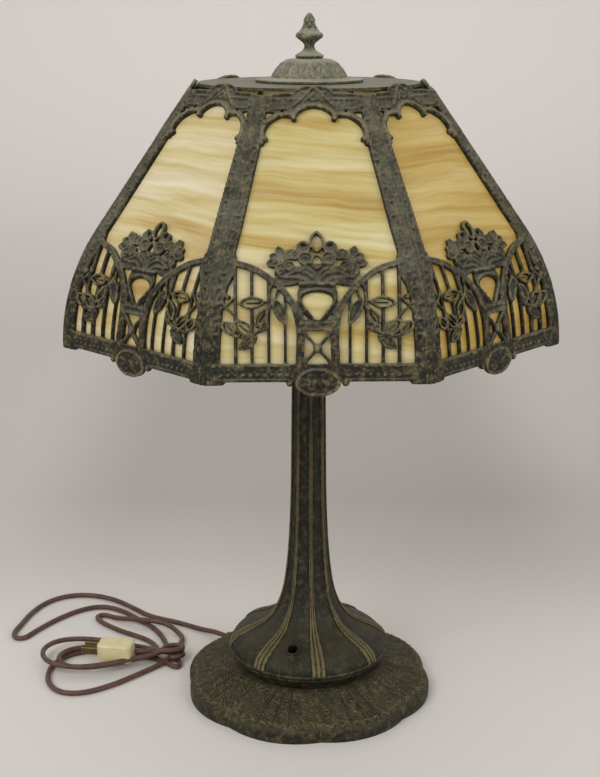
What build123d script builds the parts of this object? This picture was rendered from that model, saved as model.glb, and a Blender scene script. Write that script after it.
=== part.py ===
"""Two-light table lamp with an eight-sided shade of bent slag glass in pierced cast frames.

Millimetres, +Z up. The origin is on the table, on the lamp's upright axis. The front is -Y.
"""
from build123d import *
from math import acos, atan2, cos, degrees, hypot, pi, radians, sin, tan
import os

os.makedirs("parts", exist_ok=True)

# ---- driving dimensions ---------------------------------------------------------------------

clearance = 0.3            # between pieces that move past each other
thread_gap = 0.1           # between a threaded piece and the pipe it is screwed on
seat_gap = 0.2             # under a piece that is lifted off

sides = 8
sector = 360 / sides
front_angle = -90.0        # the front, counted from +X

# shade
shade_corner_radius = 220.0
shade_height = 204.3       # from the corner feet to the panels' top
shade_drop = 0.3           # how far the corner feet hang below the column's top
crown_corner_radius = 107.2
bend_radius = 168.0        # the skirt's bend, on a panel's middle line
shade_twist = 1.5          # how far the first panel's middle stands from the front
frame_thickness = 3.0
glass_thickness = 3.0
glass_gap = 0.3
glass_side_gap = 1.2       # half of the gap between two neighbouring panes
glass_low = 8.0            # along the panel from its foot
glass_high = 224.0

# pierced frame, along the panel (s) from its foot and out (u) from its middle line
rail_low = 2.5
rail_high = 15.5
foot_inner = 69.5
post_inner = 72.5
medallion_half_width = 17.0
medallion_half_height = 10.5
medallion_s = 2.0
crest_half_width = 15.0
crest_rise = 5.5
gate_bars = (24.0, 36.3, 48.6, 60.9)
gate_bar_width = 1.8
vine_width = 2.4
leaf_length = 16.0
leaf_width = 7.0

# crown plate, cap and finial
plate_thickness = 2.5
plate_rise = 2.5           # the plate's top above the panels' top
vent_count = 8
vent_inner = 20.0
vent_outer = 38.0
vent_width = 7.0
cap_rim_radius = 45.2
cap_dome_radius = 32.0
cap_top_radius = 19.5
cap_height = 19.0
cap_wall = 2.0
finial_height = 36.5
finial_foot_radius = 11.9
finial_ring_radius = 11.3
finial_neck_radius = 3.9
finial_tip_radius = 1.5
finial_bore_depth = 5.1

# foot
foot_cusp_radius = 110.6
foot_lobe_radius = 115.1
foot_rim_height = 12.5
foot_height = 28.5
foot_wall = 4.6
foot_seat_radius = 66.0
foot_twist = 5.3           # how far the first cusp stands from the front

# column
column_top = 352.0
column_top_radius = 13.0
column_waist_radius = 13.6
column_waist = 294.0
tier_radius = 73.0
tier_lip = 40.0
column_wall = 5.0
column_twist = 7.2         # how far the first rib stands from the front
rib_width = 3.0
rib_height = 1.4
switch_hole_radius = 4.75
switch_boss_radius = 7.0
switch_boss_length = 8.0
switch_boss_rise = 0.8
switch_reach = 54.0        # the hole's middle on the tier, and the tier's height and lean there
switch_height = 60.3
switch_lean = 64.8

# pipes, nuts and cluster
pipe_radius = 4.85
pipe_bore = 3.25
pipe_bottom = 14.0
clamp_washer_radius = 25.0
clamp_washer_thickness = 2.0
nut_across_flats = 17.0
nut_height = 5.0
coupling_height = 12.0
collar_height = 10.0
collar_radius = 17.0
cluster_height = 30.0
cluster_radius = 17.0
cluster_wall = 3.0
seat_washer_radius = 16.0
seat_washer_thickness = 3.0

# sockets, their distances counted along the socket's axis from the cluster's middle
socket_tilt = 45.0
arm_end = 28.0
arm_radius = 6.5
socket_cap_length = 17.0
socket_shell_start = 42.0
socket_shell_length = 42.0
socket_metal = 0.8
liner_thickness = 0.8
core_start = 44.0
core_length = 16.0
screw_shell_length = 22.0
screw_shell_metal = 0.55
screw_gap = 0.35           # between a bulb's base and the screw shell
liner_room = 0.9           # between the screw shell and the card liner
bulb_base_radius = 13.0
bulb_base_length = 24.0
bulb_length = 89.0
bulb_globe_radius = 24.0
knob_distance = 53.0
knob_shaft_radius = 2.5
knob_reach = 34.0
knob_head_radius = 5.5
knob_head_length = 11.0
knob_head_thickness = 4.0

# cord
cord_diameter = 5.0
cord_exit_azimuth = -135.0
cord_exit_height = 7.0
bushing_radius = 4.2
bushing_flange_radius = 5.6
bushing_flange_thickness = 2.0
bushing_seat_radius = 111.3
hank_height = 14.0
plug_length = 34.0
plug_width = 22.0
plug_height = 17.0
plug_place = (-187.0, 34.0, 7.5)
plug_heading = 172.0
blade_length = 16.0
blade_width = 6.3
blade_thickness = 1.5
blade_spacing = 12.7

# ---- worked-out sizes -----------------------------------------------------------------------

half_sector = sector / 2
shade_bottom = column_top - shade_drop      # underside of the corner feet
panel_top = shade_bottom + shade_height
plate_top = panel_top + plate_rise
panel_foot = shade_corner_radius * cos(radians(half_sector))
panel_crown = crown_corner_radius * cos(radians(half_sector))
bend_centre = panel_foot - bend_radius
lean = atan2(panel_top - shade_bottom, panel_crown - bend_centre) - acos(
    bend_radius / hypot(panel_top - shade_bottom, panel_crown - bend_centre)
)
bend_end = bend_radius * lean


def panel_reach(z, depth=0.0):
    """Distance of the panel's middle line from the lamp's axis, a depth behind its face."""
    rise = z - shade_bottom
    if rise <= 0:
        return panel_foot - depth
    if rise <= bend_radius * sin(lean):
        return bend_centre + ((bend_radius - depth) ** 2 - rise**2) ** 0.5
    over = rise - bend_radius * sin(lean)
    return bend_centre + bend_radius * cos(lean) - over * tan(lean) - depth / cos(lean)


def panel_height(s):
    """Height of a point a distance s along the panel's middle line from its foot."""
    if s <= 0:
        return shade_bottom + s
    if s <= bend_end:
        return shade_bottom + bend_radius * sin(s / bend_radius)
    return shade_bottom + bend_radius * sin(lean) + (s - bend_end) * cos(lean)


def on_panel(points, side=1):
    """Points (u, s) of the pattern as (u, height), on the right (1) or the left (-1)."""
    return [(side * u, panel_height(s)) for u, s in points]


def direction(azimuth):
    """Unit vector on the table, an azimuth from the front towards +X."""
    return Vector(sin(radians(azimuth)), -cos(radians(azimuth)), 0)


def finish(part, name):
    """Name a piece and write it."""
    part.label = name
    export_step(part, f"parts/{name}.step")


def around(master, name, count, first_angle):
    """Copies of a piece round the lamp's axis, each in its own node."""
    for k in range(count):
        with BuildPart() as copy:
            add(master, rotation=(0, 0, first_angle + k * 360 / count))
        finish(copy.part, f"{name}_{k + 1}")


def panel_slab(depth, thickness, low, high, side_gap):
    """One bent panel facing +X: its profile drawn out sideways and mitred at the corners."""
    outer = bend_radius - depth
    inner = outer - thickness
    knee = (bend_centre, shade_bottom)
    crown = panel_top + crest_rise + 10.0
    with BuildPart() as slab:
        with BuildSketch(Plane.XZ):
            with BuildLine():
                face = Line((panel_reach(low, depth), min(low, shade_bottom)),
                            (panel_foot - depth, shade_bottom))
                outer_bend = CenterArc(knee, outer, 0, degrees(lean))
                outer_crown = Line(outer_bend @ 1, (panel_reach(crown, depth), crown))
                back = depth + thickness
                inner_bend = CenterArc(knee, inner, degrees(lean), -degrees(lean))
                Line(outer_crown @ 1, (panel_reach(crown, back), crown))
                Line((panel_reach(crown, back), crown), inner_bend @ 0)
                Line(inner_bend @ 1, (panel_foot - back, face.start_point().Y))
                Line((panel_foot - back, face.start_point().Y), face @ 0)
            make_face()
        extrude(amount=shade_corner_radius / 2, both=True)
        with BuildSketch(Plane.XY.offset(min(low, shade_bottom) - 1)):
            apex = side_gap / sin(radians(half_sector))
            far = shade_corner_radius * 1.1
            spread = (far - apex) * tan(radians(half_sector))
            with BuildLine():
                Polyline((apex, 0), (far, -spread), (far, spread), close=True)
            make_face()
        extrude(amount=crown - low + 12, mode=Mode.INTERSECT)
        with BuildSketch(Plane.YZ):
            with Locations((0, (low + high) / 2)):
                Rectangle(shade_corner_radius, high - low)
        extrude(amount=shade_corner_radius * 1.2, mode=Mode.INTERSECT)
    return slab.part


# ---- shade ----------------------------------------------------------------------------------

medallion_bottom = shade_bottom + medallion_s - medallion_half_height
crest_top = panel_top + crest_rise
frame_slab = panel_slab(0, frame_thickness, medallion_bottom, crest_top, 0)

with BuildPart() as panel_frame:
    add(frame_slab)
    # the outer outline: rail, corner feet, medallion below and crest above
    with BuildSketch(Plane.YZ):
        rail_bottom = panel_height(rail_low)
        with Locations((0, (rail_bottom + panel_top) / 2)):
            Rectangle(shade_corner_radius, panel_top - rail_bottom)
        for side in (-1, 1):
            with Locations((side * (foot_inner + shade_corner_radius / 4), rail_bottom)):
                Rectangle(shade_corner_radius / 2, 2 * (rail_bottom - shade_bottom))
        with Locations((0, shade_bottom + medallion_s)):
            Ellipse(medallion_half_width, medallion_half_height)
        with Locations((0, panel_top)):
            Ellipse(crest_half_width, crest_rise)
    extrude(amount=shade_corner_radius * 1.2, mode=Mode.INTERSECT)
    # the arched window above the gates, around the flower basket
    with BuildSketch(Plane.YZ) as window:
        for side in (-1, 1):
            with BuildLine():
                basket = Polyline(*on_panel([(0, 115), (5, 107), (10, 109), (17, 103), (28, 103),
                                             (31, 96), (37, 90), (33, 84)], side))
                swan_neck = Spline(*on_panel([(33, 84), (44, 89), (57, 92), (61, 98)], side))
                post = Polyline(*on_panel([(61, 98), (58, 120), (44, 186), (38, 192)], side))
                side_arch = Spline(*on_panel([(38, 192), (31, 203), (17, 213)], side))
                centre_arch = Spline(*on_panel([(17, 213), (10, 218), (0, 221)], side))
                Line(centre_arch @ 1, basket @ 0)
            make_face()
    extrude(amount=shade_corner_radius * 1.2, mode=Mode.SUBTRACT)
    # the two gates, left open between their bars, the vine and its leaves
    with BuildSketch(Plane.YZ) as gates:
        for side in (-1, 1):
            with BuildLine():
                sill = Polyline(*on_panel([(16, rail_high), (post_inner, rail_high),
                                           (post_inner - 1, 50), (66, 80), (60, 87)], side))
                rail = Spline(*on_panel([(60, 87), (46, 84), (34, 75), (25, 66), (19, 55),
                                         (16, 40), (16, rail_high)], side))
            make_face()
        for side in (-1, 1):
            for u in gate_bars:
                with Locations((side * u, shade_bottom + 50)):
                    Rectangle(gate_bar_width, 100, mode=Mode.SUBTRACT)
            for u, s, turn in ((48.7, 61, -6), (28, 54.5, 65), (41.6, 49.6, -47),
                               (55.3, 40.7, -27), (51.3, 31, -38)):
                with Locations(Location((side * u, panel_height(s)), side * turn)):
                    Ellipse(leaf_length / 2, leaf_width / 2, mode=Mode.SUBTRACT)
            with BuildLine() as vine:
                Polyline(*on_panel([(30, 80), (35.5, 66), (36, 50), (42, 39), (52, 36), (72, 42)],
                                   side))
            offset(vine.line, vine_width / 2, kind=Kind.ARC, mode=Mode.SUBTRACT)
    extrude(amount=shade_corner_radius * 1.2, mode=Mode.SUBTRACT)
    # the pedestal between the gates: a crossed brace below, an urn above
    with BuildSketch(Plane.YZ) as pedestal:
        low, high = panel_height(rail_high), panel_height(39)
        with Locations((0, (low + high) / 2)):
            Rectangle(20, high - low)
            diagonal = degrees(atan2(high - low, 20))
            for turn in (-diagonal, diagonal):
                with Locations(Location((0, 0), turn)):
                    Rectangle(40, 3, mode=Mode.SUBTRACT)
            Circle(4, mode=Mode.SUBTRACT)
        with BuildLine():
            urn_lip = Line(*on_panel([(-12, 68), (12, 68)]))
            Spline(*on_panel([(12, 68), (11, 60), (5, 52), (3, 48)]))
            Line(*on_panel([(3, 48), (-3, 48)]))
            Spline(*on_panel([(-3, 48), (-5, 52), (-11, 60), (-12, 68)]))
        make_face()
        # two small slots in each spandrel of the arch
        for u, s in ((27, 214), (33, 214)):
            for side in (-1, 1):
                with Locations((side * u, panel_height(s))):
                    Rectangle(3, 6)
    extrude(amount=shade_corner_radius * 1.2, mode=Mode.SUBTRACT)

first_panel = front_angle + shade_twist
around(panel_frame.part, "panel_frame", sides, first_panel)

glass_slab = panel_slab(frame_thickness + glass_gap, glass_thickness, panel_height(glass_low),
                        panel_height(glass_high), glass_side_gap)
around(glass_slab, "glass_panel", sides, first_panel)

# bent tabs at the corners hold two neighbouring panes each
clip_heights = (shade_bottom + 36.3, shade_bottom + 148.3)
clip_stem = (1.6, 8.0)
clip_head = (13.0, 8.0)
clip_metal = 0.8
clip_depth = 9.5
with BuildPart() as glass_clips:
    for z in clip_heights:
        step = 1.0
        slope = (panel_reach(z - step) - panel_reach(z + step)) / (
            2 * step * cos(radians(half_sector)))
        corner = panel_reach(z) / cos(radians(half_sector))
        outward = Vector(1, 0, slope).normalized()
        along = frame_thickness / cos(radians(half_sector)) + 2 * glass_gap
        for k in range(sides):
            turn = first_panel + half_sector + k * sector
            spot = Plane(origin=Vector(corner, 0, z).rotate(Axis.Z, turn),
                         x_dir=Vector(0, 1, 0).rotate(Axis.Z, turn),
                         z_dir=outward.rotate(Axis.Z, turn))
            with BuildSketch(spot.offset(-along)):
                Rectangle(*clip_stem)
            extrude(amount=-(clip_depth - along))
            with BuildSketch(spot.offset(-clip_depth)):
                Rectangle(*clip_head)
            extrude(amount=-clip_metal)
finish(glass_clips.part, "glass_clips")

# a round plate that carries the shade on the riser pipe
plate_bottom = plate_top - plate_thickness
plate_radius = panel_reach(plate_top, frame_thickness) - clearance
with BuildPart() as crown_plate:
    with BuildSketch(Plane.XY.offset(plate_bottom)):
        Circle(plate_radius)
        Circle(pipe_radius + clearance, mode=Mode.SUBTRACT)
        with PolarLocations((vent_inner + vent_outer) / 2, vent_count):
            SlotOverall(vent_outer - vent_inner, vent_width, mode=Mode.SUBTRACT)
    extrude(amount=plate_thickness)
finish(crown_plate.part, "crown_plate")

washer_bottom = plate_bottom - seat_gap - seat_washer_thickness
with BuildPart() as seat_washer:
    with BuildSketch(Plane.XY.offset(washer_bottom)):
        Circle(seat_washer_radius)
        Circle(pipe_radius + clearance, mode=Mode.SUBTRACT)
    extrude(amount=seat_washer_thickness)
finish(seat_washer.part, "seat_washer")

# ---- cap and finial -------------------------------------------------------------------------

cap_bottom = plate_top + seat_gap
cap_top = cap_bottom + cap_height
with BuildPart() as dome_cap:
    with BuildSketch(Plane.XZ):
        with BuildLine():
            rim = Polyline((cap_rim_radius - cap_wall, cap_bottom), (cap_rim_radius, cap_bottom),
                           (cap_rim_radius, cap_bottom + cap_wall),
                           (cap_dome_radius, cap_bottom + 1.8 * cap_wall))
            dome = ThreePointArc(rim @ 1, (cap_dome_radius - 5.5, cap_bottom + 0.62 * cap_height),
                                 (cap_top_radius, cap_top - 1))
            crown = Polyline(dome @ 1, (cap_top_radius - 5, cap_top),
                             (pipe_radius + clearance, cap_top),
                             (pipe_radius + clearance, cap_top - cap_wall),
                             (cap_top_radius - 5, cap_top - cap_wall))
            hollow = ThreePointArc(crown @ 1,
                                   (cap_dome_radius - 7.8, cap_bottom + 0.55 * cap_height),
                                   (cap_dome_radius - cap_wall, cap_bottom + cap_wall))
            Line(hollow @ 1, rim @ 0)
        make_face()
    revolve(axis=Axis.Z)
finish(dome_cap.part, "dome_cap")

finial_bottom = cap_top + seat_gap
finial_bore_radius = pipe_radius + clearance
finial_bore_top = finial_bottom + finial_bore_depth
with BuildPart() as finial:
    with BuildSketch(Plane.XZ):
        with BuildLine():
            base = Polyline((0, finial_bore_top), (finial_bore_radius, finial_bore_top),
                            (finial_bore_radius, finial_bottom),
                            (finial_foot_radius - 1, finial_bottom))
            rim = ThreePointArc(base @ 1, (finial_foot_radius, finial_bottom + 1.6),
                                (finial_foot_radius - 1, finial_bottom + 3.2))
            neck = Spline(rim @ 1, (finial_bore_radius + 2.2, finial_bore_top + 0.4),
                          (finial_neck_radius, finial_bottom + 9.3),
                          (finial_ring_radius - 3, finial_bottom + 14.5),
                          (finial_ring_radius - 0.5, finial_bottom + 16.8))
            ring = ThreePointArc(neck @ 1, (finial_ring_radius, finial_bottom + 18.4),
                                 (finial_ring_radius - 1.2, finial_bottom + 20.4))
            bud = Spline(ring @ 1, (finial_ring_radius / 2 + 0.2, finial_bottom + 24.5),
                         (finial_ring_radius / 2 - 1, finial_bottom + 29),
                         (finial_tip_radius, finial_bottom + finial_height))
            Polyline(bud @ 1, (0, finial_bottom + finial_height), base @ 0)
        make_face()
    revolve(axis=Axis.Z)
finish(finial.part, "finial")

# ---- foot -----------------------------------------------------------------------------------

web_underside = foot_height - foot_wall
with BuildPart() as base_disc:
    with BuildSketch():
        with BuildLine():
            for k in range(sides):
                here = foot_twist + k * sector
                ThreePointArc(direction(here) * foot_cusp_radius,
                              direction(here + half_sector) * foot_lobe_radius,
                              direction(here + sector) * foot_cusp_radius)
        make_face()
    extrude(amount=foot_height)
    with BuildSketch(Plane.XZ):
        with BuildLine():
            Polyline((0, 0), (foot_lobe_radius + 5, 0), (foot_lobe_radius + 5, foot_rim_height - 2),
                     (foot_cusp_radius, foot_rim_height + 1), (foot_seat_radius + 4, foot_height),
                     (0, foot_height), close=True)
        make_face()
    revolve(axis=Axis.Z, mode=Mode.INTERSECT)
    with BuildSketch(Plane.XZ):
        with BuildLine():
            Polyline((0, 0), (foot_cusp_radius - foot_wall, 0),
                     (foot_cusp_radius - foot_wall, foot_rim_height - foot_wall),
                     (foot_seat_radius, web_underside), (0, web_underside), close=True)
        make_face()
    revolve(axis=Axis.Z, mode=Mode.SUBTRACT)
    Hole(pipe_radius + clearance)
    exit_way = direction(cord_exit_azimuth)
    bushing_seat = Plane(origin=exit_way * bushing_seat_radius + Vector(0, 0, cord_exit_height),
                         z_dir=exit_way)
    with BuildSketch(bushing_seat):
        Circle(bushing_flange_radius + clearance)
    extrude(amount=foot_wall, mode=Mode.SUBTRACT)
    with BuildSketch(bushing_seat):
        Circle(bushing_radius)
    extrude(amount=-2 * foot_wall, mode=Mode.SUBTRACT)
finish(base_disc.part, "base_disc")

bushing_reach = bushing_seat_radius - foot_cusp_radius + foot_wall + 2
with BuildPart() as cord_bushing:
    with BuildSketch(bushing_seat):
        Circle(bushing_flange_radius)
    extrude(amount=bushing_flange_thickness)
    with BuildSketch(bushing_seat):
        Circle(bushing_radius)
    extrude(amount=-bushing_reach)
    with BuildSketch(bushing_seat.offset(bushing_flange_thickness)):
        Circle(cord_diameter / 2 + 0.1)
    extrude(amount=-bushing_reach - bushing_flange_thickness, mode=Mode.SUBTRACT)
finish(cord_bushing.part, "cord_bushing")

washer_top = web_underside
with BuildPart() as base_washer:
    with BuildSketch(Plane.XY.offset(washer_top - clamp_washer_thickness)):
        Circle(clamp_washer_radius)
        Circle(pipe_radius + clearance, mode=Mode.SUBTRACT)
    extrude(amount=clamp_washer_thickness)
finish(base_washer.part, "base_washer")

with BuildPart() as base_nut:
    with BuildSketch(Plane.XY.offset(washer_top - clamp_washer_thickness - nut_height)):
        RegularPolygon(nut_across_flats / 2, 6, major_radius=False)
        Circle(pipe_radius + thread_gap, mode=Mode.SUBTRACT)
    extrude(amount=nut_height)
finish(base_nut.part, "base_nut")

# ---- column ---------------------------------------------------------------------------------

column_line = [(column_waist_radius, column_waist), (14.2, 240.0), (15.0, 185.5), (17.4, 138.0),
               (21.6, 103.4), (27.0, 85.0), (35.0, 71.9), (45.0, 64.4), (55.0, 59.8),
               (65.0, 54.6), (71.0, 49.2), (tier_radius, tier_lip + 3)]


def pushed(points, amount):
    """The same line moved square to its run, outwards where the amount is positive."""
    moved = []
    for k, point in enumerate(points):
        before = points[max(k - 1, 0)]
        after = points[min(k + 1, len(points) - 1)]
        run = Vector(after[0] - before[0], after[1] - before[1]).normalized()
        moved.append((point[0] - run.Y * amount, point[1] + run.X * amount))
    return moved


with BuildPart() as column:
    with BuildSketch(Plane.XZ):
        with BuildLine():
            top = Line((column_top_radius - column_wall, column_top),
                       (column_top_radius, column_top))
            shaft = Line(top @ 1, column_line[0])
            flare = Spline(*column_line)
            lip = Polyline(flare @ 1, (tier_radius, tier_lip),
                           (foot_seat_radius + 2, foot_height + 2),
                           (foot_seat_radius, foot_height),
                           (foot_seat_radius - column_wall, foot_height),
                           (tier_radius - column_wall - 1, tier_lip + 1))
            inside = Spline(*reversed(pushed(column_line, -column_wall)))
            Line(lip @ 1, inside @ 0)
            Line(inside @ 1, top @ 0)
        make_face()
    revolve(axis=Axis.Z)
    # a raised rib down each corner of the column and over the tier
    for k in range(sides):
        rib_azimuth = column_twist + k * sector
        rib_plane = Plane(origin=(0, 0, 0), x_dir=direction(rib_azimuth),
                          z_dir=direction(rib_azimuth - 90))
        with BuildSketch(rib_plane):
            with BuildLine():
                ridge = Spline(*pushed(column_line, rib_height))
                bed = Spline(*pushed(column_line, -1.5))
                head = Polyline(ridge @ 0, (column_top_radius + rib_height, column_top),
                                (column_top_radius - 1.5, column_top), bed @ 0)
                Line(ridge @ 1, bed @ 1)
            make_face()
        extrude(amount=rib_width / 2, both=True)
    # boss and empty hole for a switch, square to the tier between two ribs
    hole_way = direction(column_twist - half_sector)
    hole_out = hole_way * cos(radians(switch_lean)) + Vector(0, 0, sin(radians(switch_lean)))
    hole_face = hole_way * switch_reach + Vector(0, 0, switch_height) + hole_out * switch_boss_rise
    with BuildSketch(Plane(origin=hole_face, z_dir=hole_out)):
        Circle(switch_boss_radius)
    extrude(amount=-switch_boss_length)
    with BuildSketch(Plane(origin=hole_face + hole_out, z_dir=hole_out)):
        Circle(switch_hole_radius)
    extrude(amount=-switch_boss_length - 2, mode=Mode.SUBTRACT)
finish(column.part, "column")

# ---- pipes, collar and cluster --------------------------------------------------------------

cluster_bottom = column_top + collar_height
cluster_middle = cluster_bottom + cluster_wall + 7
cluster_top = cluster_bottom + cluster_height
riser_bottom = cluster_top - 2 * cluster_wall - 4
coupling_bottom = washer_bottom - seat_gap - coupling_height
pipe_joint = coupling_bottom + coupling_height / 2
nipple_top = finial_bore_top - 0.6

with BuildPart() as lamp_pipe:
    with BuildSketch(Plane.XY.offset(pipe_bottom)):
        Circle(pipe_radius)
        Circle(pipe_bore, mode=Mode.SUBTRACT)
    extrude(amount=cluster_bottom + cluster_wall + 2 - pipe_bottom)
finish(lamp_pipe.part, "lamp_pipe")

with BuildPart() as riser_pipe:
    with BuildSketch(Plane.XY.offset(riser_bottom)):
        Circle(pipe_radius)
        Circle(pipe_bore, mode=Mode.SUBTRACT)
    extrude(amount=pipe_joint - thread_gap - riser_bottom)
finish(riser_pipe.part, "riser_pipe")

with BuildPart() as top_nipple:
    with BuildSketch(Plane.XY.offset(pipe_joint + thread_gap)):
        Circle(pipe_radius)
        Circle(pipe_bore, mode=Mode.SUBTRACT)
    extrude(amount=nipple_top - pipe_joint - thread_gap)
finish(top_nipple.part, "top_nipple")

# the hexagonal coupling joins riser and nipple, and the seat washer turns on its top
with BuildPart() as seat_coupling:
    with BuildSketch(Plane.XY.offset(coupling_bottom)):
        RegularPolygon(nut_across_flats / 2, 6, major_radius=False)
        Circle(pipe_radius + thread_gap, mode=Mode.SUBTRACT)
    extrude(amount=coupling_height)
finish(seat_coupling.part, "seat_coupling")

with BuildPart() as column_cap:
    with BuildSketch(Plane.XZ):
        with BuildLine():
            foot_edge = Polyline((pipe_radius + clearance, column_top), (collar_radius, column_top),
                                 (collar_radius, column_top + 3))
            shoulder = ThreePointArc(foot_edge @ 1, (collar_radius - 1.8, column_top + 6.2),
                                     (collar_radius - 6, column_top + 7.5))
            Polyline(shoulder @ 1, (collar_radius - 8, cluster_bottom),
                     (pipe_radius + clearance, cluster_bottom), foot_edge @ 0)
        make_face()
    revolve(axis=Axis.Z)
finish(column_cap.part, "column_cap")

socket_ways = {
    number: Vector(side * cos(radians(socket_tilt)), 0, sin(radians(socket_tilt)))
    for number, side in ((1, 1), (2, -1))
}
middle = Vector(0, 0, cluster_middle)


def across(way, distance):
    """Plane square to a socket's axis, a distance along it."""
    return Plane(origin=middle + way * distance, x_dir=(0, 1, 0), z_dir=way)


with BuildPart() as cluster_body:
    with BuildSketch(Plane.XZ):
        with BuildLine():
            cup = Polyline((0, cluster_bottom), (cluster_radius - 7, cluster_bottom),
                           (cluster_radius - 7, cluster_bottom + 1))
            belly = Spline(cup @ 1, (cluster_radius, cluster_bottom + 10),
                           (cluster_radius - 1, cluster_bottom + 20),
                           (cluster_radius - 8, cluster_top - 1))
            Polyline(belly @ 1, (cluster_radius - 8, cluster_top), (0, cluster_top), cup @ 0)
        make_face()
    revolve(axis=Axis.Z)
    for way in socket_ways.values():
        with BuildSketch(across(way, cluster_radius / 2)):
            Circle(arm_radius)
        extrude(amount=arm_end - cluster_radius / 2)
    with BuildSketch(Plane.XZ):
        with BuildLine():
            Polyline((0, cluster_bottom + cluster_wall), (cluster_radius - 9, cluster_bottom + 3),
                     (cluster_radius - cluster_wall, cluster_bottom + 11),
                     (cluster_radius - cluster_wall - 2, cluster_bottom + 19),
                     (cluster_radius - 11, cluster_top - 2 * cluster_wall),
                     (0, cluster_top - 2 * cluster_wall), close=True)
        make_face()
    revolve(axis=Axis.Z, mode=Mode.SUBTRACT)
    for way in socket_ways.values():
        with BuildSketch(across(way, 0)):
            Circle(pipe_bore)
        extrude(amount=arm_end, mode=Mode.SUBTRACT)
    with BuildSketch(Plane.XY.offset(cluster_bottom)):
        Circle(pipe_radius + thread_gap)
    extrude(amount=cluster_height, mode=Mode.SUBTRACT)
finish(cluster_body.part, "cluster_body")

# ---- sockets, bulbs and knobs ---------------------------------------------------------------

screw_shell_bore = bulb_base_radius + screw_gap
screw_shell_radius = screw_shell_bore + screw_shell_metal
liner_radius = screw_shell_radius + liner_room + liner_thickness
core_radius = liner_radius - liner_thickness - 2 * thread_gap
socket_shell_radius = liner_radius + thread_gap + socket_metal
socket_cap_radius = socket_shell_radius + 2 * thread_gap + socket_metal
shell_end = socket_shell_start + socket_shell_length
core_end = core_start + core_length
bulb_bottom = core_end + clearance
lead_radius = 1.4


def turned(way, points):
    """A solid of revolution round a socket's axis from (radius, distance) points."""
    with BuildPart() as piece:
        with BuildSketch(Plane.XZ):
            with BuildLine():
                Polyline(*points, close=True)
            make_face()
        revolve(axis=Axis.Z)
    return across(way, 0).location * piece.part


for number, way in socket_ways.items():
    outward = Vector(way.X, 0, -way.Z)
    knob_axis = Plane(origin=middle + way * knob_distance, x_dir=(0, 1, 0), z_dir=outward)
    cap_end = arm_end + socket_cap_length
    neck = arm_radius + 2
    with BuildPart() as socket_cap:
        add(turned(way, [(pipe_bore, arm_end), (neck, arm_end), (neck, arm_end + 3),
                         (socket_cap_radius, arm_end + 8), (socket_cap_radius, cap_end),
                         (socket_cap_radius - socket_metal, cap_end),
                         (socket_cap_radius - socket_metal, arm_end + 8.6),
                         (neck - 1, arm_end + 4), (pipe_bore, arm_end + 4)]))
    finish(socket_cap.part, f"socket_cap_{number}")

    with BuildPart() as socket_shell:
        with BuildSketch(across(way, socket_shell_start)):
            Circle(socket_shell_radius)
            Circle(socket_shell_radius - socket_metal, mode=Mode.SUBTRACT)
        extrude(amount=socket_shell_length)
        with BuildSketch(knob_axis.offset(core_radius - 1)):
            Circle(knob_shaft_radius + 0.6)
        extrude(amount=5, mode=Mode.SUBTRACT)
    finish(socket_shell.part, f"socket_shell_{number}")

    with BuildPart() as socket_liner:
        with BuildSketch(across(way, core_start)):
            Circle(liner_radius)
            Circle(liner_radius - liner_thickness, mode=Mode.SUBTRACT)
        extrude(amount=shell_end - core_start - 2)
        with BuildSketch(knob_axis.offset(core_radius - 1)):
            Circle(knob_shaft_radius + 0.6)
        extrude(amount=5, mode=Mode.SUBTRACT)
    finish(socket_liner.part, f"socket_liner_{number}")

    with BuildPart() as socket_core:
        with BuildSketch(across(way, core_start)):
            Circle(core_radius)
        extrude(amount=core_length)
        with BuildSketch(knob_axis.offset(core_radius / 3)):
            Circle(knob_shaft_radius + 0.06)
        extrude(amount=core_radius, mode=Mode.SUBTRACT)
    finish(socket_core.part, f"socket_core_{number}")

    with BuildPart() as screw_shell:
        with BuildSketch(across(way, core_end)):
            Circle(screw_shell_radius)
            Circle(screw_shell_bore, mode=Mode.SUBTRACT)
        extrude(amount=screw_shell_length)
    finish(screw_shell.part, f"screw_shell_{number}")

    with BuildPart() as socket_lead:
        with BuildSketch(across(way, pipe_radius)):
            Circle(lead_radius)
        extrude(amount=core_start - pipe_radius)
    finish(socket_lead.part, f"socket_lead_{number}")

    with BuildPart() as switch_knob:
        shaft_start = core_radius / 3 + clearance
        with BuildSketch(knob_axis.offset(shaft_start)):
            Circle(knob_shaft_radius)
        extrude(amount=knob_reach - shaft_start - 1)
        with BuildSketch(knob_axis.offset(knob_reach - knob_head_length)):
            SlotOverall(2 * knob_head_radius, knob_head_thickness + 2)
        extrude(amount=knob_head_length)
    finish(switch_knob.part, f"switch_knob_{number}")

    base_end = bulb_bottom + bulb_base_length
    with BuildPart() as bulb_base:
        add(turned(way, [(0, bulb_bottom), (4.5, bulb_bottom), (bulb_base_radius, bulb_bottom + 4),
                         (bulb_base_radius, base_end), (0, base_end)]))
    finish(bulb_base.part, f"bulb_base_{number}")

    with BuildPart() as bulb_glass:
        globe = bulb_bottom + bulb_length - bulb_globe_radius
        with BuildSketch(Plane.XZ):
            with BuildLine():
                stem = Line((0, base_end), (bulb_base_radius - 0.8, base_end))
                swell = Spline(stem @ 1, (bulb_base_radius + 1.6, base_end + 9),
                               (bulb_globe_radius, globe), tangents=[(0, 1), (0, 1)])
                crown = ThreePointArc(swell @ 1,
                                      (bulb_globe_radius * sin(radians(45)),
                                       globe + bulb_globe_radius * cos(radians(45))),
                                      (0, globe + bulb_globe_radius))
                Line(crown @ 1, stem @ 0)
            make_face()
        revolve(axis=Axis.Z)
    with BuildPart() as placed_bulb:
        add(across(way, 0).location * bulb_glass.part)
    finish(placed_bulb.part, f"bulb_glass_{number}")

# ---- cord -----------------------------------------------------------------------------------


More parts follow.
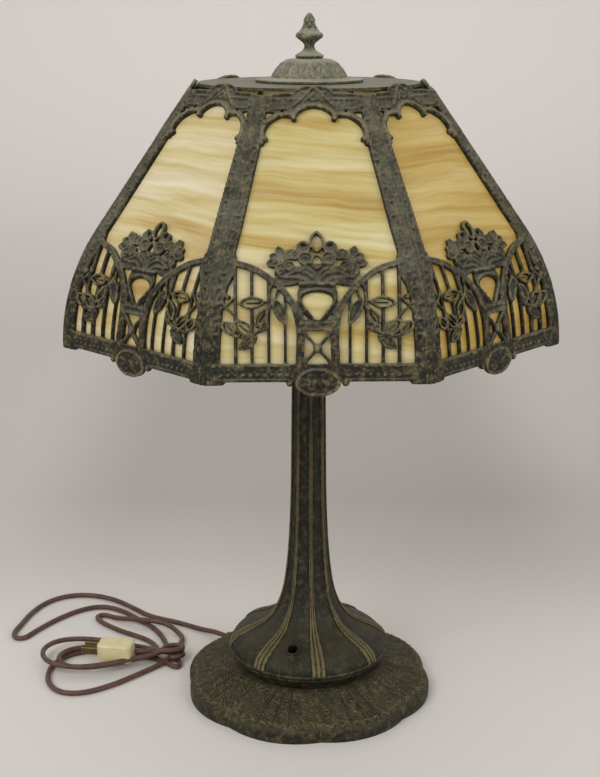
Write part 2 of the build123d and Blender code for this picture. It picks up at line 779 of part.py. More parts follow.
def bend_radii(route):
    """The largest arc for each corner: 0.45 of its shorter run over the tangent of half its turn."""
    radii = []
    for before, here, after in zip(route, route[1:], route[2:]):
        run_in, run_out = here - before, after - here
        half_turn = radians(run_in.get_angle(run_out)) / 2
        radii.append(0.45 * min(run_in.length, run_out.length) / tan(half_turn))
    return radii


def cord_tube(route, name):
    """The cord's round section carried along straight runs joined by tangent arcs."""
    route = [Vector(*point) for point in route]
    radii = bend_radii(route)
    with BuildPart() as tube:
        with BuildLine() as path:
            FilletPolyline(*route, radius=radii)
        with BuildSketch(Plane(origin=route[0], z_dir=route[1] - route[0])):
            Circle(cord_diameter / 2)
        sweep()
    length = sum(edge.length for edge in path.edges())
    ratio = tube.part.volume / (length * pi * (cord_diameter / 2) ** 2)
    print(name, "length", round(length, 1), "volume ratio", round(ratio, 4))
    print("  radii", [round(radius, 1) for radius in radii])
    finish(tube.part, name)


floor = cord_diameter / 2 + 0.1
over = floor + cord_diameter + 0.6      # one turn of the cord lying over another
exit_start = exit_way * (bushing_seat_radius + bushing_flange_thickness + 0.2)

# from the foot out to the left, round a narrow bend at the far end and back to the hank's neck
cord_route = [
    (exit_start.X, exit_start.Y, cord_exit_height),
    (-92, 92, 6.5),
    (-109, 106, floor),
    (-135, 123, floor),
    (-164, 135, floor),
    (-184, 156, floor),
    (-207, 178, floor),
    (-233, 190, floor),
    (-259, 189, floor),
    (-280, 173, floor),
    (-292, 145, floor),
    (-297, 117, floor),
    (-301, 98, floor),
    (-297, 86, floor),
    (-287, 86, floor),
    (-281, 99, floor),
    (-263, 129, floor),
    (-241, 153, floor),
    (-219, 162, floor),
    (-197, 152, floor),
    (-177, 130, floor),
    (-160, 112, floor),
    (-148, 90, floor),
    (-141, 68, floor),
]
cord_tube(cord_route, "mains_cord")

# the small loop above the neck, which passes over the run that comes back
loop_route = [
    (-129, 62, floor),
    (-125, 80, floor),
    (-131, 98, floor),
    (-147, 111, over),
    (-176, 118, over),
    (-199, 132, floor),
    (-215, 142, floor),
    (-222, 135, floor),
    (-214, 122, floor),
    (-193, 103, floor),
    (-172, 90, floor),
    (-156, 77, floor),
]
cord_tube(loop_route, "cord_loop")

# the hank: loose turns gathered at a neck beside the foot and fanning out to the left
with BuildPart() as plug_room:
    with Locations(Location(plug_place, (0, 0, plug_heading))):
        Box(plug_length + 2 * clearance, plug_width + 2 * clearance, plug_height + 2 * clearance,
            align=(Align.CENTER, Align.CENTER, Align.MIN))
        with Locations((plug_length / 2 + blade_length / 2, 0, 0)):
            Box(blade_length + 1, plug_width + 2 * clearance, plug_height,
                align=(Align.CENTER, Align.CENTER, Align.MIN))

with BuildPart() as cord_hank:
    with BuildSketch():
        with BuildLine():
            Spline((-123, 34), (-134, 58), (-166, 78), (-210, 88), (-250, 78), (-262, 50),
                   (-248, -4), (-214, -36), (-172, -40), (-138, -14), (-123, 10), periodic=True)
        make_face()
    extrude(amount=hank_height)
    edges_top = cord_hank.edges().group_by(Axis.Z)[-1]
    fillet(edges_top, 5)
    add(plug_room.part, mode=Mode.SUBTRACT)
finish(cord_hank.part, "cord_hank")

plug_at = Location(Vector(*plug_place) + Vector(0, 0, clearance), (0, 0, plug_heading))
with BuildPart() as plug_body:
    with Locations(plug_at):
        Box(plug_length, plug_width, plug_height, align=(Align.CENTER, Align.CENTER, Align.MIN))
    fillet(plug_body.edges().filter_by(Axis.Z), 5)
    chamfer(plug_body.edges().group_by(Axis.Z)[-1], 1.5)
finish(plug_body.part, "plug_body")

with BuildPart() as plug_prongs:
    with Locations(plug_at):
        for side in (-1, 1):
            with Locations((plug_length / 2 + blade_length / 2, side * blade_spacing / 2,
                            plug_height / 2)):
                Box(blade_length, blade_thickness, blade_width)
finish(plug_prongs.part, "plug_prongs")

# the lead inside the foot, bent up into the pipe and on to the cluster
inner_start = exit_way * (bushing_seat_radius - bushing_reach)
inner_route = [
    Vector(inner_start.X, inner_start.Y, cord_exit_height),
    Vector(0, 0, cord_exit_height),
    Vector(0, 0, cluster_bottom + cluster_wall),
]
with BuildPart() as inner_lead:
    with BuildLine() as inner_path:
        FilletPolyline(*inner_route, radius=6.5)
    with BuildSketch(Plane(origin=inner_route[0], z_dir=inner_route[1] - inner_route[0])):
        Circle(cord_diameter / 2)
    sweep()
finish(inner_lead.part, "inner_lead")
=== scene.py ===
"""Looks of a two-light table lamp: bent slag glass in pierced cast frames over a ribbed column.

Lengths are in millimetres up to the moment a mesh is filled, and then in metres.
The front of the lamp is -Y, and its upright axis is Z.
"""
import functools
import math

import bpy
import numpy as np
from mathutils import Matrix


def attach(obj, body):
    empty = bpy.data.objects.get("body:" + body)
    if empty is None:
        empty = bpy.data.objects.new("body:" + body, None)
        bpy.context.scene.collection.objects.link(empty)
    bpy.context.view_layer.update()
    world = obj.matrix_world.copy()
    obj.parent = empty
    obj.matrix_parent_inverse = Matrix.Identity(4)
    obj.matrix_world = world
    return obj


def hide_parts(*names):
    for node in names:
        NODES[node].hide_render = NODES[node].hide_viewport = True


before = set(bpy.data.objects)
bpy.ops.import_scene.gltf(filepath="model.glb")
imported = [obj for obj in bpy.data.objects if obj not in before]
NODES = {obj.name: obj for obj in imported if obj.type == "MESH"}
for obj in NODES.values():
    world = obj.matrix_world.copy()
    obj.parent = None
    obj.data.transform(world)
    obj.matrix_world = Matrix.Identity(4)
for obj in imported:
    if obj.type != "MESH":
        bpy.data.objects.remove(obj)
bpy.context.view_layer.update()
MM = 0.001

# ---- sizes ----------------------------------------------------------------------------------

SIDES = 8
SECTOR = math.tau / SIDES
HALF = SECTOR / 2
SHADE_TWIST = math.radians(1.5)      # the first panel's middle, from the front towards +X
FOOT_TWIST = math.radians(5.3)       # the first rib and cusp
SHADE_BOTTOM = 351.7
PANEL_TOP = 556.0
PANEL_FOOT = 220.0 * math.cos(HALF)
PANEL_CROWN = 107.2 * math.cos(HALF)
BEND = 168.0
FRAME_THICKNESS = 3.0
GLASS_FACE = 3.3
GLASS_THICKNESS = 3.0

BEND_CENTRE = PANEL_FOOT - BEND
_rise, _run = PANEL_TOP - SHADE_BOTTOM, PANEL_CROWN - BEND_CENTRE
LEAN = math.atan2(_rise, _run) - math.acos(BEND / math.hypot(_rise, _run))
BEND_END = BEND * LEAN
TOP_S = BEND_END + (_rise - BEND * math.sin(LEAN)) / math.cos(LEAN)


def in_scene(name, data):
    """A new object in the scene, of a mesh, curve, lamp or camera."""
    made = bpy.data.objects.new(name, data)
    bpy.context.scene.collection.objects.link(made)
    return made


# ---- camera ---------------------------------------------------------------------------------

camera = in_scene("camera", bpy.data.cameras.new("camera"))
camera.location = (-0.0078, -1.1513, 0.6208)
camera.rotation_euler = (math.radians(90 - 15.99), 0, 0)
camera.data.lens = 62.08
camera.data.sensor_width = 36.0
bpy.context.scene.camera = camera

# ---- meshes ---------------------------------------------------------------------------------


def to_azimuth(points, azimuth):
    """Turns points made for a panel facing +X about Z until it faces an azimuth from the front."""
    angle = azimuth - math.pi / 2
    c, s = math.cos(angle), math.sin(angle)
    x, y, z = points[..., 0], points[..., 1], points[..., 2]
    return np.stack([c * x - s * y, s * x + c * y, z], -1)


def fill_mesh(name, points, quads, relief=None, smooth=True):
    """A mesh object from points in mm and quads; its relief, 0 to 1, goes to an attribute."""
    mesh = bpy.data.meshes.new(name)
    points = np.asarray(points, dtype=float).reshape(-1, 3)
    quads = np.asarray(quads, dtype=np.int32).reshape(-1, 4)
    corners = points[quads]
    normal = np.cross(corners[:, 2] - corners[:, 0], corners[:, 3] - corners[:, 1])
    if (normal * corners.mean(1)).sum() < 0:
        quads = quads[:, ::-1]
        if relief is not None and len(relief) == quads.size:
            relief = relief.reshape(-1, 4)[:, ::-1].ravel()
    mesh.vertices.add(len(points))
    mesh.vertices.foreach_set("co", (points * MM).astype(np.float32).ravel())
    mesh.loops.add(quads.size)
    mesh.loops.foreach_set("vertex_index", np.ascontiguousarray(quads).ravel())
    mesh.polygons.add(len(quads))
    mesh.polygons.foreach_set("loop_start", np.arange(len(quads), dtype=np.int32) * 4)
    mesh.update(calc_edges=True)
    mesh.validate()
    mesh.polygons.foreach_set("use_smooth", np.full(len(mesh.polygons), smooth))
    if relief is not None:
        layer = mesh.attributes.new("relief", "FLOAT", "POINT")
        layer.data.foreach_set("value", np.asarray(relief, dtype=np.float32).ravel())
    return in_scene(name, mesh)


def grid_quads(rows, columns, close_rows=False, close_columns=False):
    """Quads between neighbouring points of a rows x columns grid, closed round where asked."""
    i = np.arange(rows if close_rows else rows - 1)
    j = np.arange(columns if close_columns else columns - 1)
    i, j = np.meshgrid(i, j, indexing="ij")
    k, m = (i + 1) % rows, (j + 1) % columns
    return np.stack([i * columns + j, k * columns + j, k * columns + m, i * columns + m],
                    -1).reshape(-1, 4)


def curve(points, steps=8):
    """Smooth line through points: Catmull-Rom spans, each cut into equal steps."""
    p = np.asarray(points, dtype=float)
    p = np.vstack([2 * p[0] - p[1], p, 2 * p[-1] - p[-2]])
    t = np.linspace(0, 1, steps, endpoint=False)[:, None]
    spans = [
        0.5 * (2 * b + (c - a) * t + (2 * a - 5 * b + 4 * c - d) * t**2
               + (3 * b - a - 3 * c + d) * t**3)
        for a, b, c, d in zip(p, p[1:], p[2:], p[3:])
    ]
    return np.vstack(spans + [p[-2:-1]])


def smoothstep(low, high, x):
    """0 below low, 1 above high, and 3t^2 - 2t^3 between them."""
    t = np.clip((x - low) / (high - low), 0, 1)
    return t * t * (3 - 2 * t)


def waves(x, y, seed, count=24, low=0.3, high=2.0):
    """Seeded soft unevenness between about -1 and 1: a sum of plane sine waves."""
    rng = np.random.default_rng(seed)
    angle = rng.uniform(0, math.tau, count)
    pace = rng.uniform(low, high, count)
    shift = rng.uniform(0, math.tau, count)
    total = sum(np.sin(p * (x * math.cos(a) + y * math.sin(a)) + f)
                for a, p, f in zip(angle, pace, shift))
    return total / math.sqrt(count)


# ---- materials ------------------------------------------------------------------------------


def srgb(code, alpha=1.0):
    """A hex colour in sRGB as linear red, green, blue and alpha."""
    parts = [int(code[k:k + 2], 16) / 255 for k in (1, 3, 5)]
    return tuple(p / 12.92 if p <= 0.04045 else ((p + 0.055) / 1.055) ** 2.4
                 for p in parts) + (alpha,)


def add_node(tree, kind, inputs=None, stops=None, **settings):
    """Adds a node, sets its properties, and links or sets its inputs.

    An input's value is another node's socket or a constant. Stops are a colour ramp's pairs of
    a position and a colour, or a number for a grey.
    """
    made = tree.nodes.new(kind)
    for key, value in settings.items():
        setattr(made, key, value)
    for key, value in (inputs or {}).items():
        if isinstance(value, bpy.types.NodeSocket):
            tree.links.new(value, made.inputs[key])
        else:
            made.inputs[key].default_value = value
    if stops:
        elements = made.color_ramp.elements
        while len(elements) < len(stops):
            elements.new(0.5)
        for element, (position, colour) in zip(elements, stops):
            element.position = position
            element.color = colour if isinstance(colour, tuple) else (colour,) * 3 + (1,)
    return made


def new_material(name, **values):
    """A material with one Principled shader, its constant inputs set on the shader itself."""
    material = bpy.data.materials.new(name)
    material.use_nodes = True
    shader = material.node_tree.nodes["Principled BSDF"]
    for key, value in values.items():
        shader.inputs[key.replace("_", " ")].default_value = value
    return material, material.node_tree, shader


def patinated_metal(name, deep, body, green, rubbed, upward_tone, upward_share, has_relief=True):
    """Cast metal with a brown-black patina: green oxide in blotches, wear, and a lighter tone where
    it faces up.

    The hollows of the relief stay deep and its crests are rubbed to a dusty gold. What faces up is
    mixed towards a lighter grey-green in the blotches. Blotches are 24 mm across, mottling 7 mm and
    specks 3 mm; a sandy bump of about 1 mm is the skin of the casting. Pieces kept from the frame
    have no relief.
    """
    deep, body, green, rubbed, upward_tone = (srgb(code) for code in (deep, body, green, rubbed, upward_tone))
    material, tree, shader = new_material(name, Metallic=0.12, Specular_IOR_Level=0.28)
    place = add_node(tree, "ShaderNodeTexCoord").outputs["Object"]
    blotch, mottle, speck, grain = (
        add_node(tree, "ShaderNodeTexNoise", {
            "Vector": place, "Scale": 1 / (size * MM), "Detail": detail, "Roughness": rough,
            "Distortion": swirl}).outputs["Fac"]
        for size, detail, rough, swirl in ((24, 5, 0.55, 0), (7, 6, 0.65, 0.6), (3, 6, 0.7, 0),
                                           (0.9, 3, 0.55, 0)))
    coats = [(blotch, [(0.50, 0), (0.66, 0.85)], green), (mottle, [(0.50, 0), (0.68, 0.5)], rubbed),
             (mottle, [(0.34, 0.75), (0.48, 0)], deep)]
    if has_relief:
        relief = add_node(tree, "ShaderNodeAttribute", attribute_name="relief").outputs["Fac"]
        raised = add_node(tree, "ShaderNodeMath", {0: relief, 1: speck}, operation="ADD")
        crest = add_node(tree, "ShaderNodeMapRange", {
            "Value": raised.outputs[0], "From Min": 1.17, "From Max": 1.46, "To Max": 0.7})
        coats += [(relief, [(0.10, 1), (0.50, 0)], deep), (crest.outputs["Result"], None, rubbed)]
    # mixed towards the upward tone where the surface faces up, in the blotches
    normal = add_node(tree, "ShaderNodeNewGeometry").outputs["Normal"]
    up = add_node(tree, "ShaderNodeSeparateXYZ", {"Vector": normal}).outputs["Z"]
    facing_up = add_node(tree, "ShaderNodeMath", {0: up, 1: blotch}, operation="MULTIPLY").outputs[0]
    coats += [(speck, [(0.56, 0), (0.72, 0.5)], rubbed), (speck, [(0.28, 0.7), (0.44, 0)], deep),
              (facing_up, [(0.10, 0), (0.52, upward_share)], upward_tone)]
    base = body
    for share, stops, coat in coats:
        if stops:
            share = add_node(tree, "ShaderNodeValToRGB", {"Fac": share}, stops).outputs[0]
        base = add_node(tree, "ShaderNodeMix", {0: share, 6: base, 7: coat},
                        data_type="RGBA").outputs[2]
    tree.links.new(base, shader.inputs["Base Color"])
    sheen = add_node(tree, "ShaderNodeMapRange", {"Value": speck, "To Min": 0.42, "To Max": 0.72})
    tree.links.new(sheen.outputs["Result"], shader.inputs["Roughness"])
    skin = add_node(tree, "ShaderNodeMath", {0: speck, 1: grain}, operation="ADD").outputs[0]
    bump = add_node(tree, "ShaderNodeBump", {
        "Height": skin, "Strength": 0.6, "Distance": 0.6 * MM}).outputs["Normal"]
    tree.links.new(bump, shader.inputs["Normal"])
    return material


def slag_glass(name):
    """Caramel slag glass, rolled: cream, honey and amber drawn out in long level streaks.

    It reads the pane's own map, metres across and along the bend, so the streaks lie level
    on every pane. Streaks are 3 to 20 mm high and many times longer.
    """
    material, tree, shader = new_material(name, Roughness=0.22, IOR=1.52)
    flat = add_node(tree, "ShaderNodeUVMap", uv_map="pane").outputs["UV"]
    sway = add_node(tree, "ShaderNodeTexNoise", {"Vector": flat, "Scale": 9.0, "Detail": 2.0})
    warped = add_node(tree, "ShaderNodeMixRGB", {
        "Color1": flat, "Color2": sway.outputs["Color"], "Fac": 0.022}).outputs[0]
    broad, fine = (
        add_node(tree, "ShaderNodeTexNoise", {
            "Vector": add_node(tree, "ShaderNodeMapping", {
                "Vector": warped, "Scale": (across, along, 1)}).outputs[0],
            "Scale": 1.0, "Detail": detail, "Roughness": rough, "Distortion": swirl}).outputs["Fac"]
        for across, along, detail, rough, swirl in ((3.4, 36, 5.0, 0.58, 0.7),
                                                    (7, 150, 4.0, 0.6, 0.4)))
    honey = add_node(tree, "ShaderNodeValToRGB", {"Fac": broad}, [
        (0.28, srgb("#a48038")), (0.41, srgb("#bda054")), (0.50, srgb("#cdbd78")),
        (0.60, srgb("#ded3a4")), (0.72, srgb("#d4be9e"))]).outputs[0]
    streak = add_node(tree, "ShaderNodeValToRGB", {"Fac": fine}, [
        (0.34, srgb("#a28a46")), (0.50, srgb("#d2c487")), (0.66, srgb("#e7e3bb"))]).outputs[0]
    colour = add_node(tree, "ShaderNodeMix", {0: 0.30, 6: honey, 7: streak},
                      data_type="RGBA").outputs[2]
    tone = add_node(tree, "ShaderNodeAttribute", attribute_name="tone").outputs["Color"]
    colour = add_node(tree, "ShaderNodeMix", {0: 1.0, 6: colour, 7: tone}, data_type="RGBA",
                      blend_type="MULTIPLY").outputs[2]
    tree.links.new(colour, shader.inputs["Base Color"])
    ripple = add_node(tree, "ShaderNodeBump", {
        "Height": fine, "Strength": 0.25, "Distance": 0.4 * MM}).outputs["Normal"]
    tree.links.new(ripple, shader.inputs["Normal"])
    return material


def plain_finish(name, colour, second, size_mm, roughness, metallic=0.0, bump_mm=0.05, **values):
    """A finish of two near colours in soft blotches with a fine skin of the same grain."""
    material, tree, shader = new_material(name, Metallic=metallic, **values)
    place = add_node(tree, "ShaderNodeTexCoord").outputs["Object"]
    blotch, fine = (
        add_node(tree, "ShaderNodeTexNoise", {
            "Vector": place, "Scale": 1 / (size * MM), "Detail": detail,
            "Roughness": 0.55}).outputs["Fac"]
        for size, detail in ((size_mm, 4), (size_mm / 8, 3)))
    tone = add_node(tree, "ShaderNodeValToRGB", {"Fac": blotch},
                    [(0.35, srgb(colour)), (0.68, srgb(second))]).outputs[0]
    tree.links.new(tone, shader.inputs["Base Color"])
    rough = add_node(tree, "ShaderNodeMapRange", {
        "Value": fine, "To Min": roughness - 0.08, "To Max": roughness + 0.1}).outputs["Result"]
    tree.links.new(rough, shader.inputs["Roughness"])
    bump = add_node(tree, "ShaderNodeBump", {
        "Height": fine, "Strength": 0.4, "Distance": bump_mm * MM}).outputs["Normal"]
    tree.links.new(bump, shader.inputs["Normal"])
    return material


# cast white metal of the frames: dark bronze patina, green oxide, rubbed gold crests
frame_metal = patinated_metal("cast_white_metal_bronze_patina", "#100f0a", "#272419", "#202b20",
                              "#8f8158", "#84806a", 0.72)
# cast iron of the foot and column: the same patina, darker on the shaft
foot_metal = patinated_metal("cast_iron_green_brown_patina", "#100f0a", "#2d2a1d", "#242e23",
                             "#85774e", "#55503a", 0.40)
shaft_metal = patinated_metal("cast_iron_dark_patina", "#0f0e0a", "#1c1a13", "#1d251c", "#5f5538",
                              "#4b4733", 0.5, False)
# the cap, finial and crown plate: the same patina in a lighter grey-green
crown_metal = patinated_metal("cast_white_metal_light_patina", "#34342a", "#66654f", "#4f6250",
                              "#b5ad8c", "#b6b29d", 0.75)
plate_metal = patinated_metal("pressed_plate_light_patina", "#25241c", "#45432f", "#3e4a38",
                              "#8f8768", "#85816c", 0.75, False)
slag = slag_glass("rolled_slag_glass_caramel")
aged_brass = plain_finish("turned_brass_aged", "#6d5a33", "#85703f", 14, 0.42, 1.0)
bright_brass = plain_finish("drawn_brass_socket", "#a5853f", "#b99a52", 18, 0.30, 1.0)
plain_steel = plain_finish("rolled_steel_dull", "#777571", "#8e8b85", 9, 0.45, 1.0)
rolled_aluminium = plain_finish("rolled_aluminium_base", "#a8a8a6", "#bdbdb9", 7, 0.35, 1.0)
card = plain_finish("vulcanised_card", "#8b7a5e", "#9c8b6c", 5, 0.8)
phenolic = plain_finish("moulded_phenolic_brown", "#2a201b", "#35281f", 16, 0.25, 0.0, 0.02)
frosted = plain_finish("frosted_bulb_glass", "#e4e2da", "#efede6", 20, 0.42, 0.0, 0.01)
cord_brown = plain_finish("brown_cord_cover", "#4b332c", "#65463a", 9, 0.48, 0.0, 0.08)
ivory = plain_finish("ivory_plug_moulding", "#cfc390", "#ddd3a8", 12, 0.38, 0.0, 0.03)
blade_brass = plain_finish("plug_blade_brass", "#8c7a4e", "#a08d5c", 6, 0.38, 1.0)


def dress(piece, material):
    """Gives a piece, new or from the frame, its one material."""
    piece.data.materials.clear()
    piece.data.materials.append(material)


def settle(piece, body, material, slot, *nodes):
    """Dresses a new piece, lets it ride and stands it for its CAD nodes. The slot is not used."""
    dress(piece, material)
    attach(piece, body)
    if nodes:
        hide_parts(*nodes)


# ---- cord -----------------------------------------------------------------------------------

CORD_D = 5.0
FLOOR = CORD_D / 2 + 0.1
OVER = FLOOR + CORD_D + 0.6
EXIT_AZIMUTH = math.radians(-135.0)
EXIT_REACH = 113.5
EXIT_HEIGHT = 7.0
exit_point = np.array([EXIT_REACH * math.sin(EXIT_AZIMUTH), -EXIT_REACH * math.cos(EXIT_AZIMUTH),
                       EXIT_HEIGHT])

# from the foot out to the left, round a narrow bend at the far end and back to the hank's neck
outward_run = [
    tuple(exit_point),
    (-92, 92, 6.5), (-109, 106, FLOOR), (-135, 123, FLOOR), (-164, 135, FLOOR),
    (-184, 156, FLOOR), (-207, 178, FLOOR), (-233, 190, FLOOR), (-259, 189, FLOOR),
    (-280, 173, FLOOR), (-292, 145, FLOOR), (-297, 117, FLOOR), (-301, 98, FLOOR),
    (-297, 86, FLOOR), (-287, 86, FLOOR), (-281, 99, FLOOR), (-263, 129, FLOOR),
    (-241, 153, FLOOR), (-219, 162, FLOOR), (-197, 152, FLOOR), (-177, 130, FLOOR),
    (-160, 112, FLOOR), (-148, 90, FLOOR), (-141, 68, FLOOR),
]
# the small loop above the neck, which passes over the run that comes back
small_loop = [
    (-129, 62, FLOOR), (-125, 80, FLOOR), (-131, 98, FLOOR), (-147, 111, OVER),
    (-176, 118, OVER), (-199, 132, FLOOR), (-215, 142, FLOOR), (-222, 135, FLOOR),
    (-214, 122, FLOOR), (-193, 103, FLOOR), (-172, 90, FLOOR), (-156, 77, FLOOR),
]
NECK = np.array([-137.0, 44.0])
NECK_HEADING = math.radians(188.0)


def hank_turn(reach, width, sway, across_out, across_back, low, high):
    """One loose turn of the hank, out from the neck and back, as about a dozen points.

    Along the turn's heading x = reach (1 - cos t) / 2 and across it
    y = width sin t ((1 - cos t) / 2)^0.8 + sway x / reach, with t from 0 at the neck to 2 pi.
    """
    t = np.linspace(0.55, math.tau - 0.55, 12)
    out = (1 - np.cos(t)) / 2
    x = reach * out
    y = -width * np.sin(t) * out**0.8 + sway * out
    y += np.where(t < math.pi, across_out, across_back) * (1 - out)
    z = low + (high - low) * t / math.tau
    c, s = math.cos(NECK_HEADING), math.sin(NECK_HEADING)
    return [(NECK[0] + c * a - s * b, NECK[1] + s * a + c * b, h) for a, b, h in zip(x, y, z)]


def neck_bend(side, height, reach=15.0, half=5.5):
    """The fold beyond the neck, beside the foot, from one strand to the next."""
    c, s = math.cos(NECK_HEADING), math.sin(NECK_HEADING)
    spots = [(2, side - half), (-reach * 0.7, side - half), (-reach, side),
             (-reach * 0.7, side + half), (2, side + half)]
    return [(NECK[0] + c * a - s * b, NECK[1] + s * a + c * b, height) for a, b in spots]


cord_points = list(outward_run)
cord_points += [(-131, 44, FLOOR), (-124, 32, FLOOR), (-128, 22, FLOOR)]
cord_points += hank_turn(118, 62, 22, 4, 8, FLOOR, FLOOR)
cord_points += neck_bend(4, FLOOR + 5)[1:]
cord_points += small_loop[1:]
cord_points += hank_turn(108, 34, -4, 2, -4, FLOOR + 4.5, FLOOR + 5)
cord_points += neck_bend(-5, FLOOR + 6)
cord_points += hank_turn(124, 46, -14, -2, 4, FLOOR + 5, FLOOR + 9)
cord_points += neck_bend(0, FLOOR + 10.5)
cord_points += [(-150, 40, FLOOR + 10), (-158, 36, FLOOR + 11), (-164, 34.5, FLOOR + 11.5),
                (-168, 34, FLOOR + 12)]


def cord_curve(name, points):
    """A round cord along one NURBS spline with the route's points as its control points."""
    data = bpy.data.curves.new(name, "CURVE")
    data.dimensions = "3D"
    spline = data.splines.new("NURBS")
    spline.points.add(len(points) - 1)
    for point, place in zip(spline.points, points):
        point.co = (place[0] * MM, place[1] * MM, place[2] * MM, 1)
    spline.order_u = 3
    spline.use_endpoint_u = True
    spline.resolution_u = 6
    data.bevel_depth = CORD_D / 2 * MM
    data.bevel_resolution = 3
    data.use_fill_caps = True
    return in_scene(name, data)


cord = cord_curve("lamp_cord", cord_points)
settle(cord, "stand", cord_brown, "cord_cover", "mains_cord", "cord_loop", "cord_hank")
dress(NODES["plug_body"], ivory)
dress(NODES["plug_prongs"], blade_brass)

# ---- pierced frames -------------------------------------------------------------------------


def bend_angle(s):
    """How far the panel's face leans back from upright at a distance s from its foot."""
    return np.clip(s / BEND, 0, LEAN)


def panel_reach(s):
    """Distance from the lamp's axis to the panel's middle line: straight, round, straight."""
    lean = bend_angle(s)
    over = np.maximum(s - BEND_END, 0)
    return BEND_CENTRE + BEND * np.cos(lean) - over * math.sin(LEAN)


def panel_height(s):
    """Height of the panel's middle line above the table."""
    lean = bend_angle(s)
    over = np.maximum(s - BEND_END, 0)
    return SHADE_BOTTOM + BEND * np.sin(lean) + over * math.cos(LEAN) + np.minimum(s, 0)


def panel_points(u, s, height):
    """Points u across and s along the panel facing +X, a height out from its face.

    Each is reach(s) + height cos(lean) out, u widened in the same proportion, which keeps the
    mitre at the corners, and up at height(s) + height sin(lean).
    """
    lean, reach = bend_angle(s), panel_reach(s)
    out = reach + height * np.cos(lean)
    return np.stack([out, u * out / reach, panel_height(s) + height * np.sin(lean)], -1)


class Casting:
    """A pierced casting in plan: how far inside its outline each point is, and how high."""

    def __init__(self, u, s):
        self.u, self.s = u, s
        self.inside = np.full(u.shape, -99.0)
        self.height = np.full(u.shape, -9.0)

    def to_line(self, points):
        """Distance to the nearest of a line's straight stretches."""
        points = np.asarray(points, dtype=float)
        best = np.full(self.u.shape, 1e9)
        for (au, a_s), (bu, bs) in zip(points, points[1:]):
            du, ds = bu - au, bs - a_s
            t = np.clip(((self.u - au) * du + (self.s - a_s) * ds) / (du * du + ds * ds + 1e-9),
                        0, 1)
            best = np.minimum(best, np.hypot(self.u - au - t * du, self.s - a_s - t * ds))
        return best

    def in_outline(self, points):
        """Distance inside a closed outline, negative outside it (even-odd rule)."""
        points = np.asarray(points, dtype=float)
        ring = np.vstack([points, points[:1]])
        odd = np.zeros(self.u.shape, dtype=bool)
        for (au, a_s), (bu, bs) in zip(ring, ring[1:]):
            level = (a_s > self.s) != (bs > self.s)
            cross = au + (self.s - a_s) * (bu - au) / (bs - a_s + 1e-12)
            odd ^= level & (self.u < cross)
        return np.where(odd, 1, -1) * self.to_line(ring)

    def in_leaf(self, base, tip, width):
        """Distance inside a leaf: where two equal circles through base and tip overlap."""
        base, tip = np.asarray(base, float), np.asarray(tip, float)
        half, wide = np.linalg.norm(tip - base) / 2, width / 2
        radius = (half**2 + wide**2) / (2 * wide)
        side = np.array([tip[1] - base[1], base[0] - tip[0]]) / (2 * half) * (radius - wide)
        middle = (base + tip) / 2
        far = [np.hypot(self.u - m[0], self.s - m[1]) for m in (middle + side, middle - side)]
        return radius - np.maximum(*far)

    def add(self, inside, height):
        """Joins a shape to the casting, at its own height where it stands highest."""
        self.inside = np.maximum(self.inside, inside)
        self.height = np.where(inside > -0.6, np.maximum(self.height, height), self.height)

    def ridge(self, field, half, top, foot):
        """Joins a half-round shape: foot at its edge, up a quarter circle to its top."""
        self.add(*rounded(field, half, top, foot))

    def sink(self, inside, height):
        """Lowers the face inside a shape to a height."""
        self.height = np.where(inside > 0, height, self.height)

    def pierce(self, inside):
        """Opens the casting inside a shape."""
        self.inside = np.minimum(self.inside, -inside)

    def moulding(self, points, half, top, foot=-1.1):
        """A half-round bar along a line."""
        self.ridge(half - self.to_line(points), half, top, foot)

    def leaf(self, base, tip, width, top=0.9, rim=1.25, floor=-0.7, vein=True, open_middle=False):
        """A leaf with a raised rim, a sunk middle or an open one, and a midrib."""
        field = self.in_leaf(base, tip, width)
        edge = rim / 2 - np.abs(field - rim / 2)
        if open_middle:
            self.ridge(edge, rim / 2, top, -0.9)
            return
        self.add(field, floor)
        self.ridge(edge, rim / 2, top, -0.9)
        if vein:
            base, tip = np.asarray(base, float), np.asarray(tip, float)
            spine = [base + (tip - base) * 0.12, tip - (tip - base) * 0.22]
            self.ridge(0.5 - self.to_line(spine), 0.5, top * 0.55, floor)


def least(*fields):
    """The least of several fields at each point, which is where all their shapes overlap."""
    return functools.reduce(np.minimum, fields)


def rounded(field, half, top, foot):
    """A shape and its half-round height: foot at the edge, up a quarter circle to the top."""
    t = np.clip(field / half, 0, 1)
    return field, foot + (top - foot) * np.sqrt(1 - (1 - t) ** 2)


GRID = 0.86                      # spacing of the plan's sample points
BAR_AT = (24.0, 36.2, 48.5, 60.6)
SWAN_NECK = [(61, 91.5), (52, 88.8), (45, 86), (39, 82), (33.5, 77.8), (28, 73), (22.5, 66.6),
             (17.6, 58.5), (14.4, 50), (12.7, 40), (12.8, 28), (13.4, 15)]
SIDE_ARCH = [(40.6, 190), (40.4, 196), (38.8, 203), (34.4, 209), (26, 214.2), (17.2, 214.0)]
CENTRE_ARCH = [(16.2, 213.2), (12.6, 217.6), (6.6, 221.3), (0, 222.6)]


